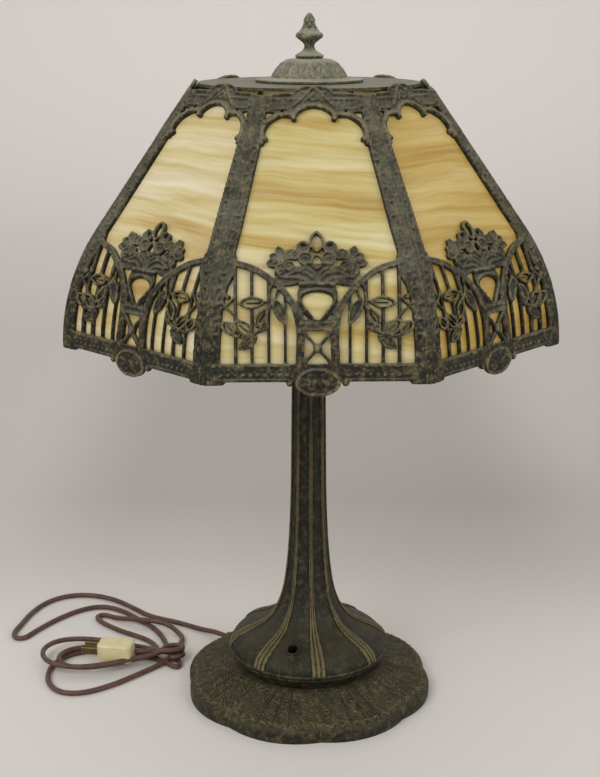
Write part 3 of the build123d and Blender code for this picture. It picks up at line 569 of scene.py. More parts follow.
def frame_casting():
    """The plan of one pierced frame: its sample axes, its field and its face height.

    The pattern is the same on both sides of the middle line, so u is taken as |u|.
    """
    u_axis = np.arange(-101, 102) * GRID
    s_axis = np.arange(-13, int(243 / GRID)) * GRID
    signed_u, s = np.meshgrid(u_axis, s_axis, indexing="ij")
    c = Casting(np.abs(signed_u), s)
    u = c.u
    half_width = panel_reach(s) * math.tan(HALF)
    from_corner = half_width - u
    top_edge = TOP_S - 0.6 - 1.6 * smoothstep(26, 40, u)
    crest_height = 6.6 * np.sqrt(np.clip(1 - (u / 15) ** 2, 0, 1))
    top_edge = top_edge + crest_height

    # the corner posts: a strip and a bead on the corner, a scrolled band, and an inner bead
    band = np.interp(s, [0, 35, 60, 74, 84, 94, 100, 121, 158, 188, 232],
                     [11.6, 11.0, 10.2, 12.0, 15.6, 14.4, 11.8, 11.9, 10.9, 10.2, 10.4])
    post = least(from_corner, band - from_corner, s, top_edge - s)
    c.add(post, -0.55)
    edge = np.minimum(s, top_edge - s)
    strip = rounded(1.9 - from_corner, 0.9, 0.3, -0.6)[1]
    c.add(least(1.9 - from_corner, from_corner, edge), strip)
    corner_bead = np.minimum(0.85 - np.abs(from_corner - 3.7), edge)
    c.ridge(corner_bead, 0.85, 0.7, -0.6)
    inner_bead = np.minimum(0.85 - np.abs(band - from_corner - 0.85), edge)
    c.ridge(inner_bead, 0.85, 0.55, -1.1)
    pitch = 11.5
    step = np.mod(s + 3, pitch) - pitch / 2
    flip = np.where(np.mod(np.floor((s + 3) / pitch), 2) == 0, 1, -1)
    lane = from_corner - 7.0
    scroll = 0.62 - np.abs(lane - flip * 1.5 * np.cos(step * math.pi / pitch))
    eye = 1.25 - np.hypot(step, lane + flip * 0.6)
    inside_post = np.minimum(post, 2.6 - np.abs(lane))
    c.ridge(np.minimum(scroll, inside_post), 0.62, 0.85, -0.55)
    c.ridge(np.minimum(eye, inside_post), 1.25, 1.0, -0.55)

    # bottom rail with its feet, a row of dashes and a small arcade
    rail = least(15.6 - s, s - 2.4, from_corner)
    feet = least(u - 69.3, s - 0.1, from_corner, 15 - s)
    c.add(rail, -0.5)
    c.add(feet, -0.2)
    plain = np.minimum(from_corner - 11.0, u - 20)
    for level, half, top in ((14.5, 1.1, 0.75), (3.5, 1.0, 0.5), (11.9, 0.45, 0.1)):
        c.ridge(np.minimum(half - np.abs(s - level), plain), half, top, -0.5)
    dash = np.mod(u - 20, 5.4) - 2.7
    dashes = np.minimum(1.7 - np.abs(dash), 0.85 - np.abs(s - 7.4))
    c.ridge(np.minimum(dashes, plain), 0.85, 0.75, -0.5)
    arcade = 0.42 - np.abs(np.hypot(dash, np.maximum(s - 9.2, 0)) - 2.2)
    c.ridge(least(arcade, s - 9, plain), 0.42, 0.2, -0.5)

    # medallion: a bead round four small rings and two volutes, with curled shoulders
    far = np.hypot(u / 17.0, (s - 1.6) / 10.4)
    disc = (1 - far) * 11.5
    c.add(disc, -0.6)
    c.ridge(1.0 - np.abs(disc - 1.0), 1.0, 1.0, -0.9)
    c.ridge(2.6 - np.hypot(u - 20.6, s - 1.4), 2.6, 0.9, -0.9)
    for cu, cs, r in ((5.2, 5.0, 2.7), (5.2, -1.4, 2.7), (11.0, 1.8, 2.6), (0, 1.8, 1.6)):
        ring = 0.6 - np.abs(np.hypot(u - cu, s - cs) - r)
        c.ridge(np.minimum(ring, disc), 0.6, 0.85, -0.6)

    # gates: upright bars under the swan-neck rail
    neck_line = curve(SWAN_NECK)
    order = np.argsort(neck_line[:, 0])
    rail_above = np.interp(u, neck_line[order, 0], neck_line[order, 1])
    for at in BAR_AT:
        bar = least(0.95 - np.abs(u - at), s - 14.5, rail_above - s)
        c.ridge(bar, 0.95, -0.2, -1.3)
    swell = 2.3 + 0.75 * (1 - smoothstep(44, 62, s))
    neck = swell - c.to_line(neck_line)
    neck = least(neck, from_corner - 9, s - 13)
    c.add(neck, 0.1)
    c.ridge(neck, 1.1, 0.5, -0.9)
    c.sink(np.minimum(0.45 - np.abs(neck - 1.9), s - 15), 0.05)

    # pedestal: crossed brace with a boss, a bar, and the urn
    for tip in ((10.6, 39.6), (10.6, 15.2)):
        c.moulding([(0, 27.4), tip], 1.15, 0.4)
    c.ridge(3.4 - np.hypot(u, s - 27.4), 3.4, 0.9, -0.6)
    cross_bar = np.minimum(13 - u, 3.2 - np.abs(s - 43.2))
    c.add(cross_bar, -0.3)
    c.ridge(np.minimum(0.7 - np.abs(np.abs(s - 43.2) - 2.4), 13 - u), 0.7, 0.6, -0.3)
    c.add(c.in_outline([(-1, 45.5), (12.6, 45.5), (15, 52.5), (18, 60.5), (14.6, 62.5),
                        (14.8, 68.5), (13.2, 74), (-1, 74)]), -0.9)
    c.pierce(c.in_outline([(-1, 48.4), (2.0, 48.4), (3.6, 51), (10.9, 60.6), (11.6, 64),
                           (9.4, 66.8), (5, 68.6), (-1, 69.2)]))
    c.pierce(c.in_outline([(6.6, 48.4), (10.4, 48.4), (11.2, 54.2)]))
    c.moulding(curve([(2.6, 47.4), (4.4, 50.8), (8.6, 56), (12.3, 61), (13.0, 64.8),
                      (10.6, 68.2), (5, 70.2), (0, 70.8)]), 0.85, 0.85, -0.9)
    rope = np.minimum(13.6 - u, 1.35 - np.abs(s - 74.8))
    twist = 0.35 * np.sin((u + s) * math.tau / 2.6)
    field, height = rounded(rope, 1.35, 0.7, -0.9)
    c.add(field, height + twist * (rope > 0.2))

    # stems and leaves that rise out of the basket
    c.add(c.in_outline([(-1, 75.5), (14, 75.2), (20, 73.6), (27, 74), (31, 79), (31.5, 84),
                        (25, 86.5), (14, 88.5), (-1, 91)]), -0.75)
    for line in ([(1.5, 76), (4, 80.5), (9.5, 83.6), (16, 84), (22, 81.4)],
                 [(0.6, 76), (1.6, 81), (5.2, 85.6), (9.5, 88)],
                 [(7, 76.5), (12, 79.4), (19, 79.6), (27, 80.4), (31, 84)],
                 [(20, 84.5), (25, 86), (30, 84.5)]):
        c.moulding(curve(line), 0.62, 0.6, -1.1)
    c.leaf((9, 85.5), (19.5, 87.2), 4.4, 0.7, 0.9)

    # flowers: a lily, a diamond petal, round blossoms and a five-petalled flower
    c.leaf((0, 99.5), (0, 116.5), 11.0, 1.1, 1.7, open_middle=True)
    c.leaf((0, 85.6), (0, 98.6), 9.6, 0.9, 1.5, open_middle=True)
    for cu, cs, r in ((10.0, 103.2, 5.1), (8.6, 94.6, 5.4), (16.6, 97.4, 3.6)):
        away = np.hypot(u - cu, s - cs)
        c.add(r - away, -0.7)
        c.ridge(0.7 - np.abs(away - r + 0.7), 0.7, 0.9, -0.8)
        petal = 0.45 - np.abs(np.hypot((u - cu) * 1.25, s - cs + 0.8) - 0.52 * r)
        c.ridge(np.minimum(petal, r - away), 0.45, 0.6, -0.7)
    c.pierce(1.7 - np.hypot((u - 10.0) * 1.1, s - 104.4))
    for tip in ((37.4, 90), (28.6, 104.4), (16.6, 101.6), (17.2, 86.6), (29, 81.6), (35.0, 97.2)):
        middle = np.array((25.0, 92.6))
        way = np.array(tip) - middle
        start = middle + way / np.linalg.norm(way) * 1.6
        c.leaf(start, tip, 6.9, 0.85, 1.15, floor=-0.7)
    c.ridge(1.9 - np.hypot(u - 25.0, s - 92.6), 1.9, 1.0, -0.6)

    # the vine on the gate, its leaves and a tendril
    for line, half in (([(30, 79.5), (34.5, 72), (36, 62), (36.4, 52), (40, 43.6), (46, 38.2),
                         (54, 36), (62, 37.4), (69.5, 42)], 0.95),
                       ([(36.2, 56), (31.5, 63), (29.6, 70)], 0.7),
                       ([(57, 46), (61.5, 52), (66.5, 57), (70.5, 62)], 0.7),
                       ([(60, 66), (65, 61), (70.5, 56)], 0.65),
                       ([(49, 37), (54, 42), (57, 46)], 0.6)):
        c.moulding(curve(line), half, 0.6)
    for base, tip, width, is_open in (
            ((38.0, 61.8), (58.4, 60.4), 9.2, True), ((32.4, 64.8), (23.2, 44.4), 8.6, False),
            ((36.6, 57.5), (46.0, 42.4), 8.0, True), ((48.6, 37.6), (61.4, 47.6), 9.6, True),
            ((60.4, 38.2), (70.2, 47.0), 8.6, True), ((42.2, 38.6), (36.4, 50.2), 5.2, False)):
        c.leaf(base, tip, width, 0.95, 1.45, floor=-0.6, open_middle=is_open)
        if is_open:
            c.pierce(c.in_leaf(base, tip, width) - 1.45)
            base, tip = np.array(base), np.array(tip)
            c.moulding([base, tip - (tip - base) * 0.3], 0.5, 0.2)
    c.leaf((44.6, 36.6), (58, 26.6), 8.0, 0.8, 1.2, floor=-0.3)
    c.ridge(1.9 - np.hypot(u - 66.2, s - 65.6), 1.9, 0.9, -0.9)

    # the arched head: mouldings, knobs, a baluster band and a gable
    arch_line = np.array(CENTRE_ARCH + SIDE_ARCH[::-1])
    order = np.argsort(arch_line[:, 0])
    arch_level = np.interp(u, arch_line[order, 0], arch_line[order, 1])
    head = least(s - arch_level, top_edge - s, from_corner)
    c.add(head, -0.7)
    for line in (CENTRE_ARCH, SIDE_ARCH):
        field = 1.9 - c.to_line(curve(line))
        c.ridge(field, 1.9, 0.9, -0.9)
    for cu, cs, r in ((15.6, 211.0, 2.2), (38.0, 193.6, 2.3), (39.6, 196.4, 1.6)):
        c.ridge(r - np.hypot(u - cu, s - cs), r, 1.1, -0.8)
    c.pierce(c.in_outline([(29.4, 216.6), (37.4, 216.6), (38.2, 209.4), (34.4, 212.6)]))
    c.pierce(np.minimum(1.0 - np.abs(u - 24.6), 1.7 - np.abs(s - 217.0)))
    in_head = np.minimum(head, from_corner - band)
    balusters = 0.85 - np.abs(np.mod(u - 0.5, 4.2) - 2.1)
    zone = least(3.4 - np.abs(s - 223.4), u - 13, in_head)
    c.ridge(np.minimum(balusters, zone), 0.85, 0.1, -0.7)
    for level, low in ((219.3, 20.5), (227.6, 10.5)):
        line = least(0.8 - np.abs(s - level), u - low, in_head)
        c.ridge(line, 0.8, 0.5, -0.7)
    c.moulding([(15.6, 221.5), (9.5, 227.5), (4, 234.5), (0, 237.8)], 1.05, 0.8, -0.7)
    c.moulding(curve([(0, 226), (3.6, 228.6), (5, 232.4), (9, 234.2)]), 0.7, 0.6, -0.7)
    c.moulding(curve([(0, 233), (2.8, 229.8), (7, 225.4)]), 0.6, 0.5, -0.7)
    rim = np.minimum(0.9 - np.abs(top_edge - s - 0.9), from_corner - 3)
    c.ridge(np.minimum(rim, head + 0.2), 0.9, 0.7, -0.8)
    ripple = 0.10 * waves(signed_u, s, 5, low=0.4, high=1.6)
    return u_axis, s_axis, c.inside, c.height + ripple


def pierced_sheet(u_axis, s_axis, inside, height, back):
    """Closed sheet of quads from a plan, by surface nets.

    Each cell of the plan that touches the casting gets one point, in its middle, or on the
    outline between its corners, at the mean height of its inner corners. Each inner sample
    point becomes a quad on the face and one on the back, and each step from an inner sample
    to an outer one becomes a quad of the wall between them.
    """
    inside = inside.copy()
    for _ in range(4):
        solid = inside > 0
        a, b, c, d = solid[:-1, :-1], solid[1:, :-1], solid[1:, 1:], solid[:-1, 1:]
        first = a & c & ~b & ~d
        second = b & d & ~a & ~c
        inside[1:, :-1][first] = 0.08
        inside[:-1, :-1][second] = 0.08
    solid = inside > 0
    corners = [(slice(None, -1), slice(None, -1)), (slice(1, None), slice(None, -1)),
               (slice(1, None), slice(1, None)), (slice(None, -1), slice(1, None))]
    offsets = [(0.0, 0.0), (1.0, 0.0), (1.0, 1.0), (0.0, 1.0)]
    count = sum(solid[k].astype(int) for k in corners)
    used = count > 0
    level = sum(np.where(solid[k], height[k], 0) for k in corners) / np.maximum(count, 1)
    cross_u, cross_s = np.zeros(used.shape), np.zeros(used.shape)
    crossings = np.zeros(used.shape)
    for k in range(4):
        m = (k + 1) % 4
        f, g = inside[corners[k]], inside[corners[m]]
        cut = (f > 0) != (g > 0)
        f, g = np.clip(f, -GRID, GRID), np.clip(g, -GRID, GRID)
        t = np.where(cut, f / np.where(cut, f - g, 1), 0)
        cross_u += np.where(cut, offsets[k][0] + t * (offsets[m][0] - offsets[k][0]), 0)
        cross_s += np.where(cut, offsets[k][1] + t * (offsets[m][1] - offsets[k][1]), 0)
        crossings += cut
    at_u = np.where(crossings > 0, cross_u / np.maximum(crossings, 1), 0.5)
    at_s = np.where(crossings > 0, cross_s / np.maximum(crossings, 1), 0.5)
    i, j = np.nonzero(used)
    number = np.full(used.shape, -1)
    number[i, j] = np.arange(len(i))
    u = u_axis[i] + at_u[i, j] * GRID
    s = s_axis[j] + at_s[i, j] * GRID
    total = len(i)
    p, q = np.nonzero(solid)
    face = np.stack([number[p - 1, q - 1], number[p, q - 1], number[p, q], number[p - 1, q]], -1)
    quads = [face, face[:, ::-1] + total]
    for dp, dq in ((1, 0), (-1, 0), (0, 1), (0, -1)):
        edge = ~solid[p + dp, q + dq]
        x, y = p[edge], q[edge]
        if dp:
            column = x if dp > 0 else x - 1
            low, high = number[column, y - 1], number[column, y]
            first, last = (low, high) if dp > 0 else (high, low)
        else:
            row = y if dq > 0 else y - 1
            left, right = number[x - 1, row], number[x, row]
            first, last = (right, left) if dq > 0 else (left, right)
        quads.append(np.stack([first, first + total, last + total, last], -1))
    face_points = (u, s, level[i, j])
    return face_points, np.vstack(quads), total


plan = frame_casting()
(net_u, net_s, net_h), net_quads, net_total = pierced_sheet(*plan, FRAME_THICKNESS)
front = panel_points(net_u, net_s, net_h)
rear = panel_points(net_u, net_s, np.full(net_u.shape, -FRAME_THICKNESS))
net_points = np.vstack([front, rear])
net_relief = np.concatenate([np.clip((net_h + 1.2) / 2.3, 0, 1), np.full(net_total, 0.35)])
for k in range(SIDES):
    azimuth = SHADE_TWIST + k * SECTOR
    piece = fill_mesh(f"pierced_frame_{k + 1}", to_azimuth(net_points, azimuth), net_quads,
                      net_relief)
    settle(piece, "shade", frame_metal, "frame_casting", f"panel_frame_{k + 1}")

# ---- foot, ribs, cap and finial ---------------------------------------------------------------


def even_line(points, step, smooth=False):
    """A line's points at even steps, run through a smooth curve first where asked."""
    points = curve(points, 12) if smooth else np.asarray(points, dtype=float)
    run = np.concatenate([[0], np.cumsum(np.hypot(*np.diff(points, axis=0).T))])
    t = np.linspace(0, run[-1], max(int(run[-1] / step), 2) + 1)
    return np.stack([np.interp(t, run, points[:, 0]), np.interp(t, run, points[:, 1])], -1)


def turned_casting(name, seen, closing, columns, relief, lobes=None):
    """A closed surface of revolution with relief pushed out along the seen line's normal.

    A point of the seen line (r, z) at azimuth a goes to (r + n_r h) lobes(r, a) and z + n_z h,
    where h = relief(t, a, r, z) in mm and t is the distance along the line.
    """
    azimuth = (np.arange(columns) * math.tau / columns)[None, :]
    run = np.gradient(seen, axis=0)
    run /= np.hypot(run[:, 0], run[:, 1])[:, None]
    t = np.concatenate([[0], np.cumsum(np.hypot(*np.diff(seen, axis=0).T))])[:, None]
    r, z = seen[:, :1], seen[:, 1:]
    h, shade = relief(t, azimuth, r, z)
    rows = np.concatenate([r + run[:, 1:] * h, np.repeat(closing[:, :1], columns, 1)])
    tall = np.concatenate([z - run[:, :1] * h, np.repeat(closing[:, 1:], columns, 1)])
    if lobes is not None:
        rows = rows * lobes(rows, azimuth)
    points = np.stack([rows * np.sin(azimuth), -rows * np.cos(azimuth), tall], -1)
    shade = np.concatenate([shade, np.full((len(closing), columns), 0.3)])
    return fill_mesh(name, points, grid_quads(len(rows), columns, True, True), shade)


def beside(azimuth, first, count):
    """Angle from the nearest of count even azimuths, the first one given."""
    step = math.tau / count
    return np.mod(azimuth - first + step / 2, step) - step / 2


FOOT_CUSP, FOOT_LOBE = 110.6, 115.1
_across, _aside = FOOT_CUSP * math.cos(HALF), FOOT_CUSP * math.sin(HALF)
LOBE_CENTRE = (FOOT_CUSP**2 - FOOT_LOBE**2) / (2 * (_across - FOOT_LOBE))
LOBE_RADIUS = FOOT_LOBE - LOBE_CENTRE


def foot_lobes(r, azimuth):
    """Factor that bows the rim out in eight arcs between the cusps and fades up the slope."""
    a = beside(azimuth, FOOT_TWIST + HALF, SIDES)
    out = LOBE_CENTRE * np.cos(a) + np.sqrt(LOBE_RADIUS**2 - (LOBE_CENTRE * np.sin(a)) ** 2)
    return 1 + (out / FOOT_CUSP - 1) * smoothstep(78, 108, r)


def fern(across_mm, along_mm, pitch, slant):
    """Leaf veins that slant up from a midrib: 0 in the furrows and 1 on the ridges."""
    phase = (along_mm - slant * np.abs(across_mm)) * math.tau / pitch
    return (0.5 + 0.5 * np.cos(phase)) ** 1.4


def foot_relief(t, azimuth, r, z):
    """Leaf fans on each lobe's slope, a raised seam at each cusp and a bead above the rim."""
    side = r * beside(azimuth, FOOT_TWIST, SIDES)
    from_lobe = r * beside(azimuth, FOOT_TWIST + HALF, SIDES)
    slope = np.clip((110 - r) / 40, 0, 1)
    on_slope = smoothstep(0.02, 0.10, slope) * (1 - smoothstep(0.90, 0.98, slope))
    up = 110 - r
    leaf_half = 15 * (1 - 0.55 * slope)
    leaf_side = np.abs(from_lobe) - leaf_half
    drift = 0.9 * waves(from_lobe + 90 * azimuth, up, 23, 20, 0.15, 0.55)
    main = fern(from_lobe, up + drift, 2.9, 0.85 - 0.5 * slope)
    flank = fern(leaf_side - 5, up - 1.3 * drift, 2.5, -0.9 + 0.6 * slope)
    veins = np.where(leaf_side < 0, main, flank)
    groove = np.exp(-(leaf_side / 0.8) ** 2) + np.exp(-((np.abs(from_lobe)) / 0.7) ** 2)
    scallop = np.exp(-((up - 4.5 - 1.6 * np.cos(from_lobe * math.tau / 9.4)) / 0.9) ** 2)
    grain = 0.5 + 0.35 * waves(side * 1.1, up + azimuth * 70, 11, 28, 0.5, 2.4)
    h = on_slope * (0.95 * veins - 0.75 * np.clip(groove, 0, 1) + 0.55 * scallop
                    + 0.5 * grain - 0.5)
    seam = np.exp(-(side / 0.75) ** 2) * (z > 1)
    bead = np.exp(-((t - 17.6) / 0.8) ** 2)
    h = h * (1 - np.exp(-(side / 1.6) ** 2)) + 0.6 * seam + 0.3 * bead
    shade = np.clip(0.42 + 0.66 * h, 0, 1)
    return h, shade * np.ones_like(h)


foot_line = even_line([(110.2, 0), (110.6, 3), (110.6, 8.4), (109.9, 10.6), (108.4, 12.4),
                       (106.2, 13.9), (103, 15.3), (96, 18.4), (86, 22.4), (76, 26.2),
                       (71, 28.2), (67, 28.5)], 0.72)
foot_back = np.array([(40, 28.5), (5.2, 28.5), (5.2, 23.9), (66, 23.9), (106, 7.9), (106, 0.0)])
foot = turned_casting("lobed_foot", foot_line, foot_back, 960, foot_relief, foot_lobes)
settle(foot, "stand", foot_metal, "foot_casting", "base_disc")

# reeded ribs: three beads side by side that run down the column and spread over the tier
COLUMN_TWIST = math.radians(7.2)
COLUMN_LINE = [(13.1, 351.0), (13.6, 294), (14.2, 240), (15.0, 185.5), (17.4, 138), (21.6, 103.4),
               (27, 85.0), (35, 71.9), (45, 64.4), (55, 59.8), (65, 54.6), (71, 49.2), (73, 43.6)]


def reeded_ribs():
    """Eight closed strips over the CAD ribs, three beads wide, from 4 mm across to 13 mm."""
    face, back = 25, 13          # points across a strip's face and across its back
    line = even_line(COLUMN_LINE, 1.6, smooth=True)
    run = np.gradient(line, axis=0)
    run /= np.hypot(run[:, 0], run[:, 1])[:, None]
    normal = np.stack([-run[:, 1], run[:, 0]], -1)
    r = line[:, :1]
    half = 1.8 + 5.0 * smoothstep(13, 68, r)
    w = np.linspace(-1, 1, face)[None, :]
    beads = np.abs(np.cos(w * math.pi * 1.5)) ** 0.7
    level = 0.35 + 1.15 * beads * (1 - 0.15 * np.abs(w)) + 0.25 * (1 - w * w)
    level = level * np.clip((1 - np.abs(w)) * 9 + 0.05, 0, 1)
    depth = np.concatenate([level * np.ones_like(r), np.full((len(line), back), -0.9)], 1)
    w_back = np.linspace(0.96, -0.96, back)[None, :]
    wide = np.concatenate([w * half, w_back * half], 1)
    reach = r + normal[:, :1] * depth
    tall = line[:, 1:] + normal[:, 1:] * depth
    sag = np.sqrt(np.maximum(reach**2 - wide**2, 1)) - reach
    shape = np.stack([reach + sag, wide, tall], -1)
    rows, columns = shape.shape[:2]
    shade = np.clip(depth / 1.5, 0, 1)
    quads = grid_quads(rows, columns, False, True)
    ends = []
    for row in (0, rows - 1):
        first = row * columns
        for k in range(face - 1):
            front_a, front_b = first + k, first + k + 1
            back_a, back_b = (first + face + min(back - 1, int((face - 1 - m) * back / face))
                              for m in (k, k + 1))
            ends.append((front_a, front_b, back_b, back_a) if row
                        else (front_b, front_a, back_a, back_b))
    total = rows * columns
    all_points, all_quads = [], []
    for k in range(SIDES):
        all_points.append(to_azimuth(shape, COLUMN_TWIST + k * SECTOR).reshape(-1, 3))
        all_quads.append(np.vstack([quads, ends]) + k * total)
    return fill_mesh("reeded_ribs", np.vstack(all_points), np.vstack(all_quads),
                     np.tile(shade.ravel(), SIDES))


ribs = reeded_ribs()
settle(ribs, "stand", foot_metal, "foot_casting")


def ring_bead(name, r, z, radius, columns=240):
    """A plain round bead about Z."""
    turn = np.arange(12) * math.tau / 12
    azimuth = np.arange(columns) * math.tau / columns
    turn, azimuth = np.meshgrid(turn, azimuth, indexing="ij")
    reach = r + radius * np.cos(turn)
    points = np.stack([reach * np.sin(azimuth), -reach * np.cos(azimuth),
                       z + radius * np.sin(turn)], -1)
    shade = np.clip(0.5 + 0.15 * np.cos(turn), 0, 1)
    return fill_mesh(name, points, grid_quads(12, columns, True, True), shade)


for number, (bead_r, bead_z, bead_d) in enumerate(((73.1, 42.6, 1.1), (71.9, 38.9, 0.8))):
    settle(ring_bead(f"tier_lip_bead_{number + 1}", bead_r, bead_z, bead_d), "stand", foot_metal,
           "foot_casting")


def cap_relief(t, azimuth, r, z):
    """Twelve upright leaves over the dome, beads on the rim and a plain collar on top."""
    leaf = beside(azimuth, 0.0, 12)
    between = beside(azimuth, math.pi / 12, 12)
    rise = np.clip((z - 562.4) / 13.5, 0, 1)
    on_dome = smoothstep(0.02, 0.10, rise) * (1 - smoothstep(0.86, 0.96, rise))
    half = 0.20 * (1 - rise**1.6) + 0.02
    side = np.abs(leaf) / half
    body = np.clip(1 - side**2, 0, 1) ** 0.5
    veins = fern(leaf * r, z, 2.6, 0.9)
    small = np.clip(1 - (np.abs(between) * r / 2.4) ** 2, 0, 1) * (rise < 0.6)
    h = on_dome * (0.9 * body + 0.35 * veins * (side < 0.9) + 0.6 * small - 0.55)
    h = h - on_dome * 0.5 * np.exp(-((leaf * r) / 0.45) ** 2)
    for at in (2.4, 6.4, 10.2):
        h = h + 0.4 * np.exp(-((t - at) / 0.7) ** 2)
    h = h + 0.10 * waves(azimuth * r, z, 17, 20, 0.6, 2.2)
    return h, np.clip(0.42 + 0.55 * h, 0, 1)


cap_line = even_line([(44.6, 558.8), (45.2, 559.4), (45.2, 560.5), (44.4, 561.0), (39, 561.5),
                      (32, 562.3), (30.6, 564.6), (28.7, 567.8), (26.5, 570.6), (23.4, 574.2),
                      (19.5, 576.7), (16.5, 577.3), (13, 577.6)], 0.42)
cap_back = np.array([(5.2, 577.6), (5.2, 575.8), (14.5, 575.6), (23.2, 569.6), (30, 560.9),
                     (43.4, 558.8)])
cap = turned_casting("leaf_dome_cap", cap_line, cap_back, 640, cap_relief)
settle(cap, "cap", crown_metal, "crown_casting", "dome_cap")


def finial_relief(t, azimuth, r, z):
    """Overlapping leaves up the bud, fluting down the neck and gadroons on the ring."""
    level = z - 577.9
    bud = smoothstep(21, 22.5, level)
    row = np.floor(level / 4.2)
    petal = beside(azimuth, row * math.pi / 6, 6)
    tip = np.mod(level, 4.2) / 4.2
    leaf = np.clip(1 - (np.abs(petal) / (0.55 * (1 - 0.75 * tip))) ** 2, 0, 1)
    neck = smoothstep(5.5, 7, level) * (1 - smoothstep(14.5, 16, level))
    flute = 0.5 + 0.5 * np.cos(12 * azimuth)
    ring = smoothstep(15.5, 16.8, level) * (1 - smoothstep(20, 21.5, level))
    h = (bud * (0.85 * leaf - 0.4) * np.clip((36 - level) / 6, 0.1, 1)
         + neck * (0.45 * flute - 0.3) + ring * (0.35 * flute - 0.1))
    return h, np.clip(0.42 + 0.6 * h + 0.12 * ring, 0, 1)


finial_line = even_line([(10.9, 578.0), (11.8, 579.0), (11.8, 580.0), (10.6, 581.2), (8.2, 582.6),
                         (5.6, 584.2), (4.1, 587.0), (4.7, 589.6), (7.6, 592.2), (10.4, 594.2),
                         (11.2, 596.2), (10.2, 598.2), (7.6, 600.2), (5.9, 602.6), (5.2, 605.4),
                         (4.2, 609.2), (2.6, 612.6), (1.5, 614.0)], 0.3, smooth=True)
finial_back = np.array([(0.02, 614.3), (0.02, 583.0), (5.1, 583.0), (5.1, 578.0)])
finial = turned_casting("leaf_bud_finial", finial_line, finial_back, 288, finial_relief)
settle(finial, "finial", crown_metal, "crown_casting", "finial")

# ---- glass ----------------------------------------------------------------------------------


# the panes come from different sheets: a tint for each
PANE_TINT = {1: (0.90, 0.88, 0.87), 2: (0.86, 0.72, 0.47), 3: (0.88, 0.80, 0.66),
             5: (0.90, 0.84, 0.74), 6: (0.85, 0.76, 0.60), 8: (1.04, 1.03, 1.26)}
rng = np.random.default_rng(41)


def glass_pane(number, azimuth):
    """One bent pane as a closed slab on a grid: u across, s along, its two faces and its edge."""
    rows, columns = 72, 34
    v = np.linspace(8.0, 224.0, rows)
    w = np.linspace(-1, 1, columns)
    s, w = np.meshgrid(v, w, indexing="ij")
    inner_reach = panel_reach(s) - (GLASS_FACE + GLASS_THICKNESS) * np.cos(bend_angle(s))
    u = w * (inner_reach * math.tan(HALF) - 1.3)
    wave = 0.12 * waves(u, s + 300 * number, number, low=0.02, high=0.09)
    outer = panel_points(u, s, -GLASS_FACE - 0.12 + wave)
    inner = panel_points(u, s, -GLASS_FACE - GLASS_THICKNESS + 0.12 + wave)
    total = rows * columns
    points = np.concatenate([outer.reshape(-1, 3), inner.reshape(-1, 3)])
    face = grid_quads(rows, columns)
    edge = np.concatenate([np.arange(columns), np.arange(1, rows) * columns + columns - 1,
                           (rows - 1) * columns + np.arange(columns - 2, -1, -1),
                           np.arange(rows - 2, 0, -1) * columns])
    following = np.roll(edge, -1)
    wall = np.stack([edge, following, following + total, edge + total], -1)
    quads = np.vstack([face[:, ::-1], face + total, wall])
    pane = fill_mesh(f"slag_pane_{number}", to_azimuth(points, azimuth), quads)
    drift = rng.uniform(-0.07, 0.07)
    flat = np.stack([np.tile((u.ravel() + 137 * number) * MM, 2),
                     np.tile((s.ravel() + u.ravel() * drift + 611 * number) * MM, 2)], -1)
    layer = pane.data.uv_layers.new(name="pane")
    index = np.empty(len(pane.data.loops), dtype=np.int32)
    pane.data.loops.foreach_get("vertex_index", index)
    layer.data.foreach_set("uv", flat[index].astype(np.float32).ravel())
    tint = np.array(PANE_TINT.get(number, (0.96, 0.93, 0.90)) + (1,), dtype=np.float32)
    tone = pane.data.attributes.new("tone", "FLOAT_COLOR", "POINT")
    tone.data.foreach_set("color", np.tile(tint, len(pane.data.vertices)))
    return pane


for k in range(SIDES):
    pane = glass_pane(k + 1, SHADE_TWIST + k * SECTOR)
    settle(pane, "shade", slag, "slag_glass", f"glass_panel_{k + 1}")

# ---- finishes of the pieces kept from the frame ----------------------------------------------

for finish, names in (
    (shaft_metal, ["column"]),
    (plate_metal, ["crown_plate"]),
    (aged_brass, ["cord_bushing", "column_cap", "cluster_body"]),
    (plain_steel, ["base_washer", "base_nut", "lamp_pipe", "riser_pipe", "top_nipple",
                   "seat_coupling", "seat_washer", "glass_clips"]),
    (cord_brown, ["inner_lead", "socket_lead_1", "socket_lead_2"]),
    (bright_brass, ["socket_cap_1", "socket_cap_2", "socket_shell_1", "socket_shell_2",
                    "screw_shell_1", "screw_shell_2"]),
    (card, ["socket_liner_1", "socket_liner_2"]),
    (phenolic, ["socket_core_1", "socket_core_2", "switch_knob_1", "switch_knob_2"]),
    (rolled_aluminium, ["bulb_base_1", "bulb_base_2"]),
    (frosted, ["bulb_glass_1", "bulb_glass_2"]),
):
    for name in names:
        dress(NODES[name], finish)

# ---- stage and light ------------------------------------------------------------------------



def backdrop():
    """Pale sweep: floor forward and aside, a round bend behind, then a wall."""
    flat = np.array([(y, 0.0) for y in np.linspace(-2600, 2400, 18)])
    turn = np.linspace(0, math.pi / 2, 16)[1:]
    bend = np.stack([2400 + 700 * np.sin(turn), 700 - 700 * np.cos(turn)], -1)
    wall = np.array([(3100.0, z) for z in np.linspace(1000, 4200, 8)])
    line = np.vstack([flat, bend, wall])
    x = np.linspace(-3600, 3600, 13)
    gx, gy = np.meshgrid(x, line[:, 0])
    gz = np.repeat(line[:, 1][:, None], len(x), 1)
    return fill_mesh("backdrop", np.stack([gx, gy, gz], -1), grid_quads(len(line), len(x)))


